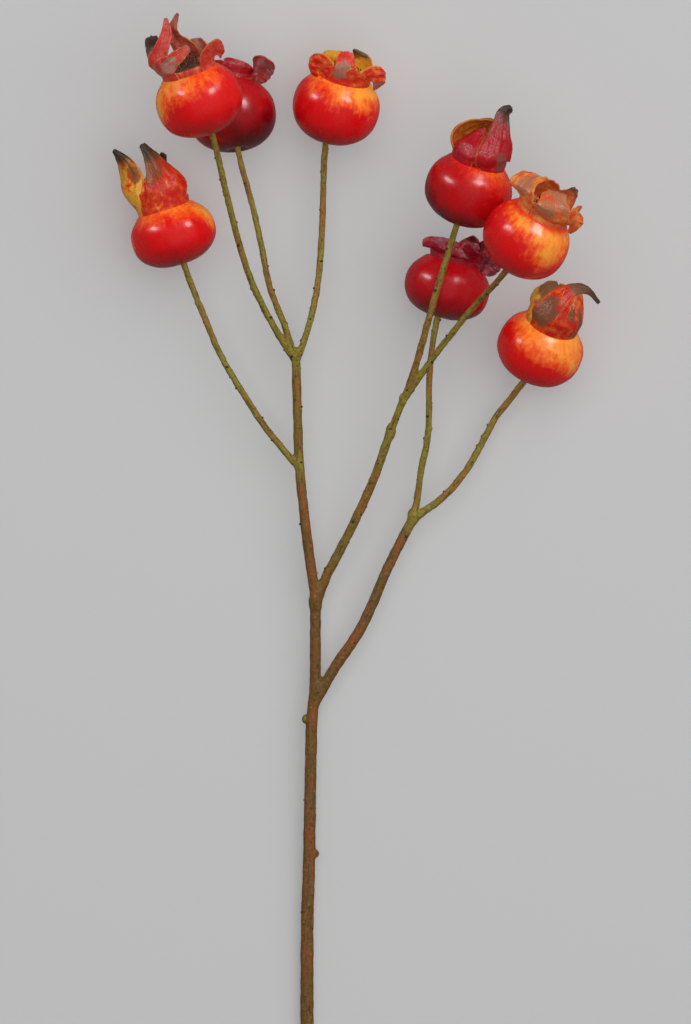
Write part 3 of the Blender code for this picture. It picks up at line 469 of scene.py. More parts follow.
# How dry the end of each sepal above is, how ochre it is and how withered, from 0 to 1.
sepalTones = {
    1: [(0.85, 0.2, 0.1), (0.75, 0.85, 0.2), (0, 0.3, 0.1), (1, 0.2, 0.6), (0.5, 0.4, 0.4)],
    2: [(0, 0.12, 0.2), (0, 0.3, 0.2), (0.1, 0.1, 0.3), (0.2, 0, 0.15), (1, 0, 0.7), (0.3, 0, 0.2)],
    3: [(0, 0, 0.1), (0, 0.25, 0.2), (0, 0, 0.1), (0, 0, 0.1), (0, 0, 0.1)],
    4: [(0, 0.3, 0.05), (0, 0.05, 0.1), (0, 0.3, 0.05), (0, 0.2, 0), (0, 0.25, 0), (1, 0.7, 0.3), (0, 0.8, 0.1)],
    5: [(0.8, 0, 0.1), (0, 0, 0), (0.1, 0.3, 0.7), (0.2, 0.4, 0.4), (0, 0, 0.1)],
    6: [(0, 0.55, 0.35), (0, 0.5, 0.2), (0.6, 0.3, 0.5), (0, 0.5, 0.2), (0, 0.3, 0.1), (0, 0.4, 0.3)],
    7: [(0, 0, 0.1), (0, 0, 0), (0, 0, 0.1), (0.1, 0.1, 0.4), (0, 0, 0.2), (0, 0, 0.1), (0, 0, 0.1)],
    8: [(0.75, 0.3, 0.2), (0.2, 0.85, 0.2), (0.2, 0.4, 0.2), (0, 0.2, 0.1), (0, 0.5, 0.2)],
}
# Large withered patches: which sepal, how far across it (-1 to 1) and along it (0 to 1), and the radius in mm.
witheredPatches = {
    1: [(0, -0.5, 0.62, 3.2), (0, 0.1, 0.86, 2.6), (1, 0.4, 0.62, 1.8)],
    2: [(2, 0.2, 0.5, 2.4), (3, 0.4, 0.3, 2.2), (1, 0, 0.7, 3)],
    3: [(1, 0.3, 0.75, 2.2)],
    4: [(1, -0.2, 0.5, 3.0), (2, 0.6, 0.75, 1.6)],
    5: [(0, 0.4, 0.28, 2.7), (0, 0, 0.95, 2.2)],
    6: [(5, -0.4, 0.5, 3.4), (5, 0.6, 0.8, 3.0), (0, 0.2, 0.55, 3.0), (3, 0, 0.6, 2.2)],
    7: [(0, 0, 0.85, 2.0), (1, 0.3, 0.8, 1.8)],
    8: [(0, -0.3, 0.34, 3.7), (0, 0, 0.8, 3.4), (2, -0.1, 0.28, 3.4), (1, 0.2, 0.75, 3.2), (3, 0, 0.8, 2.4)],
}
calyxLooks = {
    1: dict(
        skin="#C4180F", flush="#DC4A18", ochre="#DDA02A", patch="#84421E", inner="#D8A034", tip="#3A2E20",
        crumple=0.7,
    ),
    2: dict(
        skin="#C03428", flush="#CC6048", ochre="#D08A3A", patch="#A87262", inner="#9A4232", tip="#40302A",
        crumple=1.5,
    ),
    3: dict(
        skin="#960A18", flush="#A81A1A", ochre="#B8641E", patch="#6A2426", inner="#7A201C", tip="#4A2A22",
        crumple=0.9,
    ),
    4: dict(
        skin="#D02418", flush="#E2602A", ochre="#E0A42A", patch="#A06C5C", inner="#DCA42C", tip="#5E4C30",
        crumple=0.9,
    ),
    5: dict(
        skin="#A00A1A", flush="#BE2020", ochre="#DC8C26", patch="#7E4438", inner="#C07A28", tip="#2E2824",
        crumple=0.7,
    ),
    6: dict(
        skin="#CC4822", flush="#E07038", ochre="#DC9040", patch="#A86848", inner="#C4602C", tip="#5E4A38",
        crumple=1.5,
    ),
    7: dict(
        skin="#8E0C1E", flush="#A42A36", ochre="#9A3A28", patch="#8C4A52", inner="#4E1014", tip="#3A2020",
        crumple=0.9,
    ),
    8: dict(
        skin="#BE160E", flush="#D4541A", ochre="#CC9A2A", patch="#6E472E", inner="#B88C2A", tip="#463A2A",
        crumple=0.9,
    ),
}


def smoothPath(points, count):
    # count + 1 points on the centripetal Catmull-Rom curve through points
    points = [Vector(point) for point in points]
    ends = [2 * points[0] - points[1], *points, 2 * points[-1] - points[-2]]
    knots = [0.0]
    for before, after in zip(ends, ends[1:]):
        knots.append(knots[-1] + math.sqrt((after - before).length))
    path = []
    for i in range(count + 1):
        knot = knots[1] + (knots[-2] - knots[1]) * i / count
        k = max(j for j in range(1, len(points)) if knots[j] <= knot + 1e-9)
        blended, near = ends[k - 1 : k + 3], knots[k - 1 : k + 3]
        for spans in ([(0, 1), (1, 2), (2, 3)], [(0, 2), (1, 3)], [(1, 2)]):
            blended = [
                blended[n].lerp(blended[n + 1], (knot - near[low]) / (near[high] - near[low]))
                for n, (low, high) in enumerate(spans)
            ]
        path.append(blended[0])
    return path


def sepalFrames(azimuth, turn, path):
    # at even steps along the sepal: middle, across, outward and width
    form = calyxForm
    angle = math.radians(azimuth)
    outward = Vector((math.sin(angle), 0, math.cos(angle)))
    rootWidth = form["rootRadius"] * math.radians(form["rootArc"])
    root = form["rootRadius"] * outward + Vector((0, form["rootHeight"], 0))
    base = form["baseRadius"] * outward + Vector((0, form["baseHeight"], 0))
    lead, count = form["leadSteps"], form["pathSteps"]
    line = [Vector((*base.lerp(root, i / lead), rootWidth)) for i in range(lead)]
    line += smoothPath([(*root, rootWidth), *path], count - lead)
    rows = []
    for i, point in enumerate(line):
        forward = (line[min(i + 1, count)] - line[max(i - 1, 0)]).xyz.normalized()
        outward = (outward - forward * outward.dot(forward)).normalized()
        fade = min(1, 2 * max(0, i - lead) / (count - lead))
        facing = Matrix.Rotation(math.radians(turn) * fade, 3, forward) @ outward
        rows.append([*point.xyz, *forward.cross(facing), *facing, point.w, fade])
    return np.array(rows)


def sepalShell(number, index, azimuth, bend, turn, path):
    # points, faces, marks (across, along, inner side) and tones of one sepal, which is a closed shell
    form = calyxForm
    frames = sepalFrames(azimuth, turn, path)
    seed = Vector((number * 13.7, index * 7.9, form["seed"]))
    length = float(np.linalg.norm(np.diff(frames[:, :3], axis=0), axis=1).sum())
    endWidth = path[-1][3]
    rounding = min(0.16, form["roundness"] * endWidth / length)
    frayed = form["fray"] * min(1, endWidth / 5)
    across = np.linspace(-1, 1, form["columns"]).tolist()
    dry, ochre, withered = sepalTones[number][index]
    patches = [patch[1:] for patch in witheredPatches[number] if patch[0] == index]
    crumple = form["ripple"] * calyxLooks[number]["crumple"]
    outer, inner, marks, tones = [], [], [], []
    for i in range(form["rows"]):
        along = i / (form["rows"] - 1)
        for side in across:
            torn = frayed * (1 + noise.noise(Vector((side * 4, 0, 0)) + seed))
            spot = along * (1 - rounding * abs(side) ** 4 - torn) * (len(frames) - 1)
            low = min(int(spot), len(frames) - 2)
            row = (frames[low] + (frames[low + 1] - frames[low]) * (spot - low)).tolist()
            middle, right, facing = Vector(row[:3]), Vector(row[3:6]).normalized(), Vector(row[6:9]).normalized()
            arc = math.radians(form["rootArc"] + (bend - form["rootArc"]) * row[10])
            width = row[9] * (1 + 0.07 * row[10] * noise.noise(Vector((along * 5, side, 4)) + seed))
            angle = arc * side / 2
            radius = width / arc
            point = middle + radius * (right * math.sin(angle) - facing * (1 - math.cos(angle)))
            normal = facing * math.cos(angle) + right * math.sin(angle)
            wave = noise.noise(point * 0.35 + seed) + 0.5 * noise.noise(point * 0.9 + seed)
            lift = crumple * row[10] * (0.35 + 0.65 * side * side) * wave
            lift += form["fold"] * row[10] * noise.noise(Vector((side * 3.5, along * 1.6, 9)) + seed)
            lift += form["keel"] * row[10] * math.exp(-((side / 0.12) ** 2))
            half = form["thickness"] + (form["edgeThickness"] - form["thickness"]) * abs(side) ** 3
            half *= 0.5 * (1 - 0.25 * along)
            outer.append(point + normal * (lift + half))
            inner.append(point + normal * (lift - half))
            marks.append((side, along))
            worn = 0.5 * withered
            for patchSide, patchAlong, size in patches:
                away = math.hypot((side - patchSide) * width / 2, 0.7 * (along - patchAlong) * length) / size
                away += 0.5 * noise.noise(Vector((side * 2.4, along * 7, 2)) + seed)
                worn = max(worn, 1.2 - 0.7 * away)
            tones.append((dry, ochre, worn))
    wide = form["columns"]
    count = len(outer)
    faces = []
    for i in range(form["rows"] - 1):
        for j in range(wide - 1):
            quad = (i * wide + j, i * wide + j + 1, (i + 1) * wide + j + 1, (i + 1) * wide + j)
            faces.append(quad)
            faces.append(tuple(count + k for k in reversed(quad)))
    last = (form["rows"] - 1) * wide
    rim = list(range(wide)) + [i * wide + wide - 1 for i in range(1, form["rows"])]
    rim += [last + j for j in range(wide - 2, -1, -1)] + [i * wide for i in range(form["rows"] - 2, 0, -1)]
    for a, b in zip(rim, rim[1:] + rim[:1]):
        faces.append((b, a, count + a, count + b))
    marks = [(*mark, 0.0) for mark in marks] + [(*mark, 1.0) for mark in marks]
    return outer + inner, faces, marks, tones + tones


def cupShell():
    # the low cup that the sepals stand on, turned about the axis
    form = calyxForm
    radius, height, wall = form["cupRadius"], form["cupHeight"], form["cupWall"]
    profile = [
        (0.0, form["baseHeight"], 0), (radius - 0.3, form["baseHeight"], 0), (radius, 0.3, 0),
        (radius + 0.5 * form["cupFlare"], 0.5 * height, 0), (radius + form["cupFlare"], height - 0.25, 0),
        (radius + form["cupFlare"] - 0.3, height, 0), (radius + form["cupFlare"] - wall, height, 1),
        (radius + form["cupFlare"] - wall - 0.5, form["cupFloor"] + 0.3, 1), (radius - wall - 1, form["cupFloor"], 1),
        (0.0, form["cupFloor"], 1),
    ]
    steps = form["cupSteps"]
    points, marks, faces = [], [], []
    for radius, height, within in profile[1:-1]:
        for k in range(steps):
            angle = 2 * math.pi * k / steps
            points.append(Vector((radius * math.sin(angle), height, radius * math.cos(angle))))
            marks.append((math.sin(angle * 5), 0.0, float(within)))
    rings = len(profile) - 2
    for i in range(rings - 1):
        for k in range(steps):
            a, b = i * steps + k, i * steps + (k + 1) % steps
            faces.append((a, b, b + steps, a + steps))
    for ring, within in ((0, 0), (rings - 1, 1)):
        middle = len(points)
        points.append(Vector((0, profile[0][1] if ring == 0 else profile[-1][1], 0)))
        marks.append((0.0, 0.0, float(within)))
        for k in range(steps):
            a, b = ring * steps + k, ring * steps + (k + 1) % steps
            faces.append((middle, b, a) if ring == 0 else (middle, a, b))
    return points, faces, marks


def calyxSkin(number, look):
    # half-dried sepals: leathery, lightly glossy, faintly veined along their length, brown where withered
    material, tree, shader = newMaterial(f"dryingSepal{number}")
    mark = addNode(tree, "ShaderNodeAttribute", {}, attribute_name="sepalMark").outputs["Vector"]
    parts = addNode(tree, "ShaderNodeSeparateXYZ", {0: mark}).outputs
    tone = addNode(tree, "ShaderNodeAttribute", {}, attribute_name="sepalTone").outputs["Vector"]
    tones = addNode(tree, "ShaderNodeSeparateXYZ", {0: tone}).outputs
    spot = addNode(tree, "ShaderNodeTexCoord", {}).outputs["Object"]
    spot = addNode(tree, "ShaderNodeVectorMath", {0: spot, "Scale": 1000.0}, operation="SCALE").outputs[0]
    edge = addNode(tree, "ShaderNodeMath", {0: parts[0]}, operation="ABSOLUTE").outputs[0]

    # veins about 0.7 mm apart run the length of a sepal, and blotches are 2 to 5 mm across
    vein = addNode(tree, "ShaderNodeVectorMath", {
        0: mark, 1: (9.0, 1.6, 3.0),
    }, operation="MULTIPLY").outputs[0]
    vein = addNode(tree, "ShaderNodeTexNoise", {"Vector": vein, "Scale": 1.4, "Detail": 3.0}).outputs[0]
    cloud = addNode(tree, "ShaderNodeTexNoise", {"Vector": spot, "Scale": 0.27, "Detail": 2.0}).outputs[0]
    blotch = addNode(tree, "ShaderNodeTexNoise", {
        "Vector": spot, "Scale": 0.42, "Detail": 4.0, "Roughness": 0.6,
    }).outputs[0]
    fleck = addNode(tree, "ShaderNodeTexNoise", {
        "Vector": spot, "Scale": 1.3, "Detail": 3.0, "Roughness": 0.6,
    }).outputs[0]

    warmth = addNode(tree, "ShaderNodeMath", {
        0: vein, 1: 0.35, 2: blotch,
    }, operation="MULTIPLY_ADD").outputs[0]
    warmth = addNode(tree, "ShaderNodeMath", {
        0: tones[1], 1: 0.4, 2: warmth,
    }, operation="MULTIPLY_ADD").outputs[0]
    flushed = addNode(tree, "ShaderNodeMapRange", {
        0: warmth, 1: 0.66, 2: 0.96,
    }, interpolation_type="SMOOTHSTEP").outputs[0]
    ripened = addNode(tree, "ShaderNodeMapRange", {
        0: warmth, 1: 0.86, 2: 1.08,
    }, interpolation_type="SMOOTHSTEP").outputs[0]
    outside = addNode(tree, "ShaderNodeMix", {
        0: flushed, 6: linear(look["skin"]), 7: linear(look["flush"]),
    }, data_type="RGBA").outputs[2]
    outside = addNode(tree, "ShaderNodeMix", {
        0: ripened, 6: outside, 7: linear(look["ochre"]),
    }, data_type="RGBA").outputs[2]

    # the inner side is paler, and also flushed
    inside = addNode(tree, "ShaderNodeMapRange", {0: blotch, 1: 0.42, 2: 0.66, 4: 0.8}).outputs[0]
    inside = addNode(tree, "ShaderNodeMix", {
        0: inside, 6: linear(look["inner"]), 7: linear(look["flush"]),
    }, data_type="RGBA").outputs[2]
    colour = addNode(tree, "ShaderNodeMix", {0: parts[2], 6: outside, 7: inside}, data_type="RGBA").outputs[2]

    # sums that say where a sepal is withered, where its margin is and where its end is dry
    worn, margin, end = tones[2], edge, parts[1]
    for texture, share in ((cloud, 0.7), (blotch, 0.5), (fleck, 0.25)):
        worn = addNode(tree, "ShaderNodeMath", {
            0: texture, 1: share, 2: worn,
        }, operation="MULTIPLY_ADD").outputs[0]
    margin = addNode(tree, "ShaderNodeMath", {
        0: fleck, 1: 0.16, 2: margin,
    }, operation="MULTIPLY_ADD").outputs[0]
    for texture, share in ((tones[0], 0.45), (cloud, 0.3)):
        end = addNode(tree, "ShaderNodeMath", {
            0: texture, 1: share, 2: end,
        }, operation="MULTIPLY_ADD").outputs[0]

    # soft-edged withered patches, a thin ochre margin, then brown and last a dark dried end
    for where, low, high, most, paint, how in (
        (worn, 1.12, 1.42, 0.9, "patch", "SMOOTHSTEP"), (margin, 0.99, 1.09, 0.45, "ochre", "LINEAR"),
        (end, 1.0, 1.35, 0.75, "patch", "SMOOTHSTEP"), (end, 1.2, 1.42, 0.95, "tip", "SMOOTHSTEP"),
    ):
        share = addNode(tree, "ShaderNodeMapRange", {
            0: where, 1: low, 2: high, 4: most,
        }, interpolation_type=how).outputs[0]
        colour = addNode(tree, "ShaderNodeMix", {
            0: share, 6: colour, 7: linear(look[paint]),
        }, data_type="RGBA").outputs[2]
    tree.links.new(colour, shader.inputs["Base Color"])

    rough = addNode(tree, "ShaderNodeMapRange", {0: cloud, 1: 0.35, 2: 0.65, 3: 0.18, 4: 0.38}).outputs[0]
    tree.links.new(rough, shader.inputs["Roughness"])
    relief = addNode(tree, "ShaderNodeMath", {
        0: vein, 1: 0.5, 2: blotch,
    }, operation="MULTIPLY_ADD").outputs[0]
    relief = addNode(tree, "ShaderNodeMath", {
        0: fleck, 1: 0.3, 2: relief,
    }, operation="MULTIPLY_ADD").outputs[0]
    bump = addNode(tree, "ShaderNodeBump", {"Height": relief, "Strength": 0.6, "Distance": 0.6 * mm})
    tree.links.new(bump.outputs[0], shader.inputs["Normal"])
    shader.inputs["IOR"].default_value = 1.45
    return material


for number, hip in hips.items():
    points, faces, marks = cupShell()
    tones = [(0.0, 0.15, 0.05)] * len(points)
    for index, (azimuth, bend, turn, path) in enumerate(sepals[number]):
        morePoints, moreFaces, moreMarks, moreTones = sepalShell(number, index, azimuth, bend, turn, path)
        first = len(points)
        points += morePoints
        faces += [tuple(first + k for k in face) for face in moreFaces]
        marks += moreMarks
        tones += moreTones
    turn = hipTurn(hip)
    neck = sidePoint(hip["halfHeight"], hipForm["neckRadius"])
    placed = []
    for point in points:
        local = Vector((point.x, -point.z, point.y + neck))
        place = (turn @ local + Vector(hip["middle"])) * mm
        placed.append((place.x, place.y, min(max(place.z, 0.0), cadBox[1][2])))
    mesh = bpy.data.meshes.new(f"calyx{number}")
    mesh.from_pydata(placed, [], faces)
    mesh.attributes.new("sepalMark", "FLOAT_VECTOR", "POINT").data.foreach_set("vector", np.ravel(marks))
    mesh.attributes.new("sepalTone", "FLOAT_VECTOR", "POINT").data.foreach_set("vector", np.ravel(tones))
    mesh.shade_smooth()
    mesh.materials.append(calyxSkin(number, calyxLooks[number]))
    standIn(addObject(f"dryCalyx{number}", mesh), f"calyx_{number}")
print("calyces folded:", len(calyxLooks))


stamenForm = dict(
    discRadius=3.9, discHeight=0.9, spacing=0.62, length=3.6, filamentRadius=0.13, antherRadius=0.34, seed=5,
)


def stamenTree():
    # withered filaments with small anthers, scattered over a low button
    tree, given = newTree("stamenTuft", {
        "discRadius": "Float", "discHeight": "Float", "spacing": "Float", "length": "Float",
        "filamentRadius": "Float", "antherRadius": "Float",
        "seed": "Int", "place": "Vector", "turn": "Vector", "look": "Material",
    })
    disc = addNode(tree, "GeometryNodeMeshCircle", {
        "Vertices": 32, "Radius": given["discRadius"],
    }, fill_type="TRIANGLE_FAN").outputs[0]
    spots = addNode(tree, "GeometryNodeDistributePointsOnFaces", {
        "Mesh": disc, "Distance Min": given["spacing"], "Density Max": 4.0, "Seed": given["seed"],
    }, distribute_method="POISSON").outputs[0]
    middle = addNode(tree, "ShaderNodeVectorMath", {
        0: (0.03, 0.08, 0.6), "Scale": given["length"],
    }, operation="SCALE")
    end = addNode(tree, "ShaderNodeVectorMath", {
        0: (0.14, 0.25, 1.0), "Scale": given["length"],
    }, operation="SCALE")
    stalk = addNode(tree, "GeometryNodeCurveQuadraticBezier", {
        "Resolution": 5, "Start": (0, 0, 0), "Middle": middle.outputs[0], "End": end.outputs[0],
    }).outputs[0]
    outline = addNode(tree, "GeometryNodeCurvePrimitiveCircle", {
        "Resolution": 5, "Radius": given["filamentRadius"],
    }).outputs[0]
    stalk = addNode(tree, "GeometryNodeCurveToMesh", {
        "Curve": stalk, "Profile Curve": outline, "Fill Caps": True,
    }).outputs[0]
    anther = addNode(tree, "GeometryNodeMeshIcoSphere", {
        "Radius": given["antherRadius"], "Subdivisions": 1,
    }).outputs[0]
    anther = addNode(tree, "GeometryNodeTransform", {
        0: anther, "Translation": end.outputs[0], "Scale": (1, 0.7, 1.3),
    }).outputs[0]
    filament = addNode(tree, "GeometryNodeJoinGeometry", {0: stalk})
    tree.links.new(anther, filament.inputs[0])
    tilt = addNode(tree, "FunctionNodeRandomValue", {
        0: (-0.35, -0.35, -3.2), 1: (0.35, 0.35, 3.2), "Seed": given["seed"],
    }, data_type="FLOAT_VECTOR").outputs[0]
    size = addNode(tree, "FunctionNodeRandomValue", {2: 0.55, 3: 1.0, "Seed": given["seed"]}).outputs[1]
    tuft = addNode(tree, "GeometryNodeInstanceOnPoints", {
        "Points": spots, "Instance": filament.outputs[0], "Rotation": tilt, "Scale": size,
    }).outputs[0]
    button = addNode(tree, "GeometryNodeMeshUVSphere", {
        "Segments": 32, "Rings": 12, "Radius": given["discRadius"],
    })
    low = addNode(tree, "ShaderNodeMath", {
        0: given["discHeight"], 1: given["discRadius"],
    }, operation="DIVIDE")
    flatten = addNode(tree, "ShaderNodeCombineXYZ", {0: 1.1, 1: 1.1, 2: low.outputs[0]}).outputs[0]
    button = addNode(tree, "GeometryNodeTransform", {0: button.outputs[0], "Scale": flatten}).outputs[0]
    whole = addNode(tree, "GeometryNodeJoinGeometry", {0: tuft})
    tree.links.new(button, whole.inputs[0])
    placed = addNode(tree, "GeometryNodeTransform", {
        0: whole.outputs[0], "Translation": given["place"], "Rotation": given["turn"], "Scale": (mm, mm, mm),
    }).outputs[0]
    closeTree(tree, placed, given["look"])
    return tree


def stamenLook():
    # dried plant fibre: dull, dark brown, paler at some ends
    material, tree, shader = newMaterial("driedStamens")
    spot = addNode(tree, "ShaderNodeTexCoord", {}).outputs["Object"]
    shade = addNode(tree, "ShaderNodeTexNoise", {"Vector": spot, "Scale": 900.0, "Detail": 2.0}).outputs[0]
    shade = addNode(tree, "ShaderNodeMapRange", {0: shade, 1: 0.35, 2: 0.7}).outputs[0]
    colour = addNode(tree, "ShaderNodeMix", {
        0: shade, 6: linear("#2A1C14"), 7: linear("#6A4A2C"),
    }, data_type="RGBA").outputs[2]
    tree.links.new(colour, shader.inputs["Base Color"])
    shader.inputs["Roughness"].default_value = 0.75
    return material


stamenTuft = stamenTree()
dried = stamenLook()
for number, hip in hips.items():
    turn = hipTurn(hip)
    height = sidePoint(hip["halfHeight"], hipForm["neckRadius"]) + calyxForm["cupFloor"] + 0.4
    piece = grow(f"stamens{number}", stamenTuft, {
        **stamenForm,
        "seed": stamenForm["seed"] + number,
        "place": (Vector(hip["middle"]) + turn @ Vector((0, 0, height))) * mm,
        "turn": Vector(turn.to_euler()),
        "look": dried,
    })
    standIn(piece, f"stamens_{number}")
print("stamens grown:", len(hips))


# Where each limb's middle runs, in mm from the cut end: right, along the sprig and up.
stemLimbs = {
    "leader": [
        (-1, 0, 1.95), (-1, 48.5, 3), (-0.5, 66, 3.5), (0, 92, 4.5), (0.5, 113.5, 5.2), (1.5, 124, 5.6),
        (1.5, 136, 6), (1.5, 151, 6.7), (-0.5, 165.5, 7.6), (-2.5, 183, 8.6), (-3.5, 193.5, 9.3),
        (-4, 209, 10.4), (-4.5, 227, 11.6),
    ],
    "middleBranch": [
        (1.5, 148, 6.5), (4.5, 157, 7.1), (9, 165.5, 8), (13.5, 174.5, 9.3), (17.5, 183, 10.7),
        (21, 191.5, 12.3), (25, 203.5, 14.6),
    ],
    "rightBranch": [
        (1.5, 119, 5.5), (8.5, 131, 5.9), (14.5, 139.5, 6.2), (19, 148.5, 6.4), (22.5, 157, 6.6),
        (26.5, 165.5, 6.8), (32.5, 177, 7),
    ],
    "pedicel1": [
        (-3.5, 191.5, 9.3), (-8.5, 197.5, 10.2), (-14.5, 205, 11.2), (-20, 213.5, 12), (-27.5, 226, 12.4),
        (-33.5, 240, 12.2), (-39.5, 256, 12),
    ],
    "pedicel2": [
        (-4.5, 224.5, 11.5), (-9.5, 232.5, 13.6), (-14.5, 241.5, 16.6), (-19, 251.5, 20), (-22.5, 263, 24),
        (-26, 277, 29), (-31, 295, 35),
    ],
    "pedicel3": [
        (-4.5, 225.5, 11.5), (-8, 236, 13.4), (-12.5, 247.5, 15.2), (-15, 260, 16.2), (-18, 273.5, 16.4),
        (-22, 291, 15),
    ],
    "pedicel4": [
        (-4.5, 224, 11.4), (-1.5, 232.5, 11.5), (1, 241.5, 10.8), (2.5, 250.5, 9.8), (3.5, 263, 8.6),
        (4, 275.5, 7.8), (5.5, 294, 9.5),
    ],
    "pedicel5": [
        (24.5, 201.5, 14.2), (27.5, 209.5, 16.8), (30.5, 216.5, 19.4), (33.5, 226, 23.2), (36, 235, 26.4),
        (39.5, 247.5, 28.2), (42.5, 257.5, 28.4), (46, 268.5, 30),
    ],
    "pedicel6": [
        (28.5, 212, 17.7), (33, 218.5, 20.4), (38.5, 226.5, 23.6), (44.5, 234, 27), (50.5, 241.5, 30.8),
        (61, 254, 42),
    ],
    "pedicel7": [
        (32, 176, 7), (33.5, 183, 7.6), (34.5, 191.5, 8.5), (36.5, 200.5, 9.5), (37, 211, 10.5),
        (37, 221, 11.4), (40, 240, 12.5),
    ],
    "pedicel8": [
        (31.5, 175, 7), (36.5, 179, 7), (42, 183, 6.7), (49, 191.5, 6), (54, 200.5, 5.2), (58, 208, 4.8),
        (67.5, 221.5, 8.5),
    ],
}
stemStart = Vector((-14.35, -166.66, 0))
stemForm = dict(
    voxel=0.35, smoothing=7, thin=1.15, thick=1.6, bumpSpacing=3.2, bumpSize=0.55, grain=0.14, seed=9,
    thickShare=0.12, forkReach=7.0, probeLift=0.05, missedRadius=1.0, thickestRadius=2.6, radiusPasses=12,
    stepsPerStretch=12, routeGap=300.0, crossGrain=0.6,
)
# where limbs part, in mm as above
forks = [(-3.8, 193.5, 9.3), (-4.5, 226.5, 11.6), (25, 203, 14.5), (28.8, 213, 18.1), (32, 176.5, 7)]


def fineStem():
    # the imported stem, merged, rounded off, and marked with how thick the limb is at each point
    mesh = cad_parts["stem"].data.copy()
    mesh.materials.clear()
    bm = bmesh.new()
    bm.from_mesh(mesh)
    bmesh.ops.remove_doubles(bm, verts=bm.verts, dist=0.01 * mm)
    bm.to_mesh(mesh)
    bm.free()
    source = addObject("stemSource", mesh)
    remesh = source.modifiers.new("remesh", "REMESH")
    remesh.mode = "VOXEL"
    remesh.voxel_size = stemForm["voxel"] * mm
    rounded = source.modifiers.new("rounded", "SMOOTH")
    rounded.iterations = stemForm["smoothing"]
    rounded.factor = 0.5
    graph = bpy.context.evaluated_depsgraph_get()
    fine = bpy.data.meshes.new_from_object(source.evaluated_get(graph))
    bpy.data.objects.remove(source)

    surface = BVHTree.FromPolygons([v.co for v in fine.vertices], [p.vertices for p in fine.polygons])
    radii = np.empty(len(fine.vertices), np.float32)
    for vertex in fine.vertices:
        inwards = -vertex.normal
        hit = surface.ray_cast(vertex.co + inwards * stemForm["probeLift"] * mm, inwards)
        radii[vertex.index] = 0.5 * hit[3] / mm if hit[3] else stemForm["missedRadius"]
    radii = np.minimum(radii, stemForm["thickestRadius"])
    edges = np.empty(2 * len(fine.edges), np.int64)
    fine.edges.foreach_get("vertices", edges)
    low, high = edges.reshape(-1, 2).T
    count = np.bincount(edges, minlength=len(radii))
    for _ in range(stemForm["radiusPasses"]):
        total = np.bincount(low, radii[high], len(radii)) + np.bincount(high, radii[low], len(radii))
        radii = 0.5 * radii + 0.5 * total / count
    fine.attributes.new("limbRadius", "FLOAT", "POINT").data.foreach_set("value", radii.astype(np.float32))

    # each point's place round its limb's middle and along it, so that the bark's grain follows the limbs
    steps = stemForm["stepsPerStretch"]
    tree = KDTree(sum((len(route) - 1) * steps + 1 for route in stemLimbs.values()))
    middles = []
    for number, route in enumerate(stemLimbs.values()):
        line = smoothPath(route, (len(route) - 1) * steps)
        travelled = number * stemForm["routeGap"]
        for i, point in enumerate(line):
            travelled += (point - line[max(i - 1, 0)]).length
            tree.insert(point + stemStart, len(middles))
            middles.append((point + stemStart, travelled))
    tree.balance()
    places, forked = [], []
    for vertex in fine.vertices:
        nearest = min((vertex.co / mm - Vector(fork) - stemStart).length for fork in forks)
        forked.append(max(0.0, 1 - nearest / stemForm["forkReach"]))
        _, index, _ = tree.find(vertex.co / mm)
        middle, travelled = middles[index]
        offset = vertex.co / mm - middle
        places += [offset.x, offset.z, travelled + stemForm["crossGrain"] * offset.y]
    fine.attributes.new("barkPlace", "FLOAT_VECTOR", "POINT").data.foreach_set("vector", places)
    fine.attributes.new("forkNearness", "FLOAT", "POINT").data.foreach_set("value", forked)
    return fine


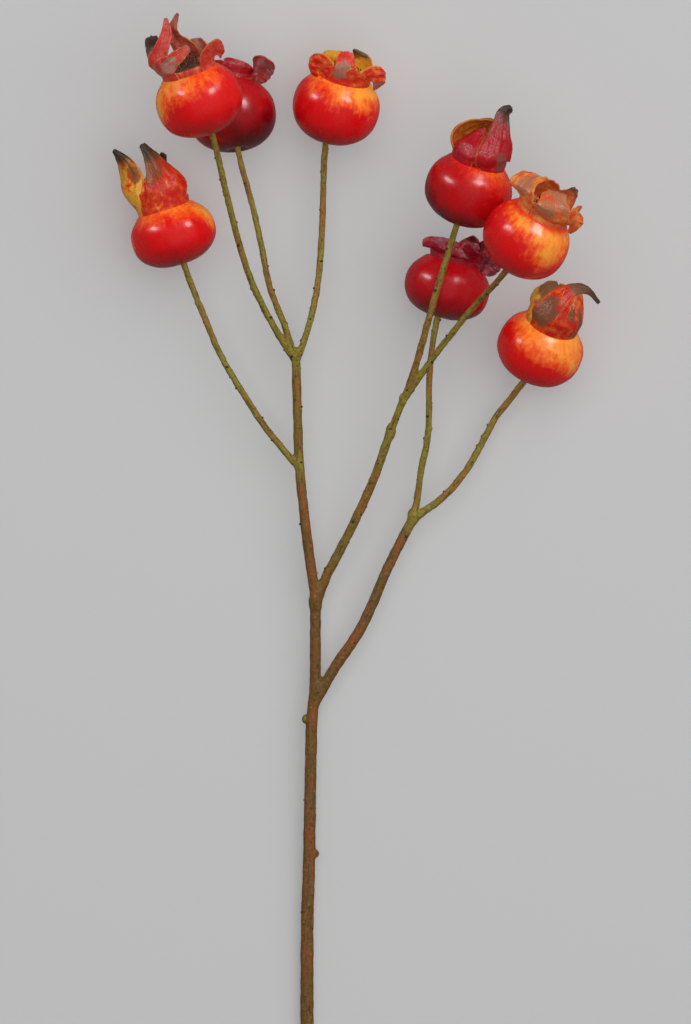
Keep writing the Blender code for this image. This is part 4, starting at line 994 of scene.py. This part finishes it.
def barkTree():
    # fine grain along the normal, and small blunt bumps scattered over the bark
    tree, given = newTree("barkDetail", {
        "limbs": "Geometry", "grain": "Float", "bumpSpacing": "Float", "bumpSize": "Float",
        "thin": "Float", "thick": "Float", "thickShare": "Float", "seed": "Int", "bark": "Material",
    })
    spot = tree.nodes.new("GeometryNodeInputPosition").outputs[0]
    normal = tree.nodes.new("GeometryNodeInputNormal").outputs[0]
    drawn = addNode(tree, "ShaderNodeVectorMath", {
        0: spot, 1: (900, 260, 900),
    }, operation="MULTIPLY").outputs[0]
    grain = addNode(tree, "ShaderNodeTexNoise", {"Vector": drawn, "Scale": 1.0, "Detail": 3.0}).outputs[0]
    grain = addNode(tree, "ShaderNodeMapRange", {0: grain, 1: 0.25, 2: 0.75, 3: -mm, 4: mm}).outputs[0]
    grain = addNode(tree, "ShaderNodeMath", {0: grain, 1: given["grain"]}, operation="MULTIPLY").outputs[0]
    push = addNode(tree, "ShaderNodeVectorMath", {0: normal, "Scale": grain}, operation="SCALE").outputs[0]
    limbs = addNode(tree, "GeometryNodeSetPosition", {0: given["limbs"], "Offset": push}).outputs[0]
    apart = addNode(tree, "ShaderNodeMath", {0: given["bumpSpacing"], 1: mm}, operation="MULTIPLY").outputs[0]
    wide = addNode(tree, "ShaderNodeMath", {0: given["bumpSize"], 1: mm}, operation="MULTIPLY").outputs[0]
    limb = addNode(tree, "GeometryNodeInputNamedAttribute", {
        "Name": "limbRadius",
    }, data_type="FLOAT").outputs[0]
    crowd = addNode(tree, "ShaderNodeMapRange", {
        0: limb, 1: given["thin"], 2: given["thick"], 3: 1.0, 4: given["thickShare"],
    }).outputs[0]
    spread = addNode(tree, "GeometryNodeDistributePointsOnFaces", {
        "Mesh": limbs, "Distance Min": apart, "Density Max": 160000.0, "Density Factor": crowd, "Seed": given["seed"],
    }, distribute_method="POISSON")
    bump = addNode(tree, "GeometryNodeMeshIcoSphere", {"Radius": wide, "Subdivisions": 2}).outputs[0]
    bump = addNode(tree, "GeometryNodeTransform", {0: bump, "Scale": (0.7, 1.0, 0.6)}).outputs[0]
    size = addNode(tree, "FunctionNodeRandomValue", {2: 0.3, 3: 1.2, "Seed": given["seed"]}).outputs[1]
    bumps = addNode(tree, "GeometryNodeInstanceOnPoints", {
        "Points": spread.outputs[0], "Instance": bump, "Rotation": spread.outputs["Rotation"], "Scale": size,
    }).outputs[0]
    bumps = addNode(tree, "GeometryNodeRealizeInstances", {0: bumps}).outputs[0]
    bumps = addNode(tree, "GeometryNodeStoreNamedAttribute", {
        0: bumps, "Name": "scar", "Value": 1.0,
    }, data_type="FLOAT").outputs[0]
    whole = addNode(tree, "GeometryNodeJoinGeometry", {0: limbs})
    tree.links.new(bumps, whole.inputs[0])
    low = addNode(tree, "ShaderNodeVectorMath", {
        0: spot, 1: (-9.0, -9.0, 0.0),
    }, operation="MAXIMUM").outputs[0]
    whole = addNode(tree, "GeometryNodeSetPosition", {0: whole.outputs[0], "Position": low}).outputs[0]
    closeTree(tree, whole, given["bark"])
    return tree


def stemBark():
    # young rose wood: smooth satin bark, brown on the old limbs and olive green on the young stalks
    material, tree, shader = newMaterial("youngRoseBark")
    spot = addNode(tree, "ShaderNodeTexCoord", {}).outputs["Object"]
    grain = addNode(tree, "ShaderNodeAttribute", {}, attribute_name="barkPlace").outputs["Vector"]
    limb = addNode(tree, "ShaderNodeAttribute", {}, attribute_name="limbRadius").outputs["Fac"]
    scar = addNode(tree, "ShaderNodeAttribute", {}, attribute_name="scar").outputs["Fac"]
    fork = addNode(tree, "ShaderNodeAttribute", {}, attribute_name="forkNearness").outputs["Fac"]
    # streaks 0.5 mm wide and some 4 mm long, lengthwise on each limb, and flecks of 0.5 mm
    drawn = addNode(tree, "ShaderNodeVectorMath", {
        0: grain, 1: (1.9, 1.9, 0.24),
    }, operation="MULTIPLY").outputs[0]
    streak = addNode(tree, "ShaderNodeTexNoise", {
        "Vector": drawn, "Scale": 1.0, "Detail": 4.0, "Roughness": 0.65,
    }).outputs[0]
    broad = addNode(tree, "ShaderNodeVectorMath", {
        0: grain, 1: (0.45, 0.45, 0.05),
    }, operation="MULTIPLY").outputs[0]
    broad = addNode(tree, "ShaderNodeTexNoise", {"Vector": broad, "Scale": 1.0, "Detail": 2.0}).outputs[0]
    fleck = addNode(tree, "ShaderNodeTexNoise", {
        "Vector": spot, "Scale": 1300.0, "Detail": 3.0, "Roughness": 0.65,
    }).outputs[0]
    age = addNode(tree, "ShaderNodeMapRange", {
        0: limb, 1: stemForm["thin"], 2: stemForm["thick"],
    }, interpolation_type="SMOOTHSTEP").outputs[0]
    side = addNode(tree, "ShaderNodeMapRange", {0: broad, 1: 0.42, 2: 0.6}).outputs[0]
    streaky = addNode(tree, "ShaderNodeMapRange", {0: streak, 1: 0.42, 2: 0.6}).outputs[0]
    young, ochre, ruddy = (
        addNode(tree, "ShaderNodeMix", {0: side, 6: linear(one), 7: linear(other)}, data_type="RGBA").outputs[2]
        for one, other in (("#84782A", "#8C6428"), ("#6E5A28", "#7A5626"), ("#6A3E18", "#86441E"))
    )
    old = addNode(tree, "ShaderNodeMix", {0: streaky, 6: ochre, 7: ruddy}, data_type="RGBA").outputs[2]
    colour = addNode(tree, "ShaderNodeMix", {0: age, 6: young, 7: old}, data_type="RGBA").outputs[2]
    # greener where limbs part, then shaded streaks, dark and pale flecks, and dark bumps
    green = addNode(tree, "ShaderNodeMath", {0: broad, 1: 0.8, 2: fork}, operation="MULTIPLY_ADD").outputs[0]
    for where, low, high, least, most, paint in (
        (green, 0.6, 1.15, 0.0, 0.65, "#8E862E"), (streak, 0.33, 0.5, 0.75, 0.0, "#33260E"),
        (fleck, 0.36, 0.46, 0.6, 0.0, "#33260E"), (fleck, 0.62, 0.74, 0.0, 0.5, "#BCA060"),
        (scar, 0.0, 1.0, 0.0, 1.0, "#34301C"),
    ):
        share = addNode(tree, "ShaderNodeMapRange", {0: where, 1: low, 2: high, 3: least, 4: most}).outputs[0]
        colour = addNode(tree, "ShaderNodeMix", {
            0: share, 6: colour, 7: linear(paint),
        }, data_type="RGBA").outputs[2]
    tree.links.new(colour, shader.inputs["Base Color"])
    rough = addNode(tree, "ShaderNodeMapRange", {0: streak, 1: 0.3, 2: 0.7, 3: 0.48, 4: 0.7}).outputs[0]
    tree.links.new(rough, shader.inputs["Roughness"])
    relief = addNode(tree, "ShaderNodeMath", {
        0: streak, 1: 1.5, 2: fleck,
    }, operation="MULTIPLY_ADD").outputs[0]
    bump = addNode(tree, "ShaderNodeBump", {"Height": relief, "Strength": 0.7, "Distance": 0.25 * mm})
    tree.links.new(bump.outputs[0], shader.inputs["Normal"])
    shader.inputs["Specular IOR Level"].default_value = 0.3
    return material


piece = grow("roseStem", barkTree(), {**stemForm, "bark": stemBark()}, fineStem())
standIn(piece, "stem")
print("stem rounded off:", len(piece.data.polygons), "faces")


studio = dict(
    floorColour="#BDBDBD", floorSize=6.0, surround="#E6E6E8", surroundStrength=0.16,
    viewMiddle=(-3.35, 12.04, 20.0), viewHeight=317.44, lens=300.0, sensor=36, farthest=20,
)
# The overhead panel only fills the shadows, and doesn't show in the gloss.
softboxes = {
    "leftStrip": dict(direction=(-0.74, 0.5, 0.45), distance=3.2, size=(0.55, 1.3), power=31, inGloss=True),
    "rightPanel": dict(direction=(0.5, 0.52, 0.69), distance=3.2, size=(0.9, 0.9), power=40, inGloss=True),
    "overhead": dict(direction=(0.35, 0.22, 1.0), distance=3.6, size=(7.0, 7.0), power=150, inGloss=False),
}

floorMesh = bpy.data.meshes.new("paleFloor")
half = studio["floorSize"] / 2
floorMesh.from_pydata([(-half, -half, 0), (half, -half, 0), (half, half, 0), (-half, half, 0)], [], [(0, 1, 2, 3)])
floor = addObject("paleFloor", floorMesh)
# matt backdrop paper, with no shine of its own
paper, paperTree, paperShader = newMaterial("backdropPaper")
paperShader.inputs["Base Color"].default_value = linear(studio["floorColour"])
paperShader.inputs["Roughness"].default_value = 0.9
paperShader.inputs["Specular IOR Level"].default_value = 0.1
floorMesh.materials.append(paper)
floor.visible_glossy = False  # keeps a pale haze off the glossy skins

world = bpy.data.worlds.new("studioAir")
world.use_nodes = True
air = world.node_tree.nodes["Background"]
air.inputs["Color"].default_value = linear(studio["surround"])
air.inputs["Strength"].default_value = studio["surroundStrength"]
bpy.context.scene.world = world

target = Vector(studio["viewMiddle"]) * mm
for name, box in softboxes.items():
    light = bpy.data.lights.new(name, "AREA")
    light.shape = "RECTANGLE"
    light.size, light.size_y = box["size"]
    light.energy = box["power"]
    lamp = addObject(name, light)
    light.use_shadow = not box["inGloss"]  # the floor stays even, as on a lit table
    lamp.visible_glossy = box["inGloss"]
    direction = Vector(box["direction"]).normalized()
    lamp.location = target + direction * box["distance"]
    lamp.rotation_euler = direction.to_track_quat("Z", "Y").to_euler()

lens = bpy.data.cameras.new("studioCamera")
lens.lens = studio["lens"]
lens.sensor_width = studio["sensor"]
distance = studio["lens"] * studio["viewHeight"] * mm / lens.sensor_width
lens.clip_end = studio["farthest"]
camera = addObject("studioCamera", lens)
camera.location = target + Vector((0, 0, distance))
bpy.context.scene.camera = camera
bpy.context.scene.view_settings.view_transform = "Standard"
print("studio set up")
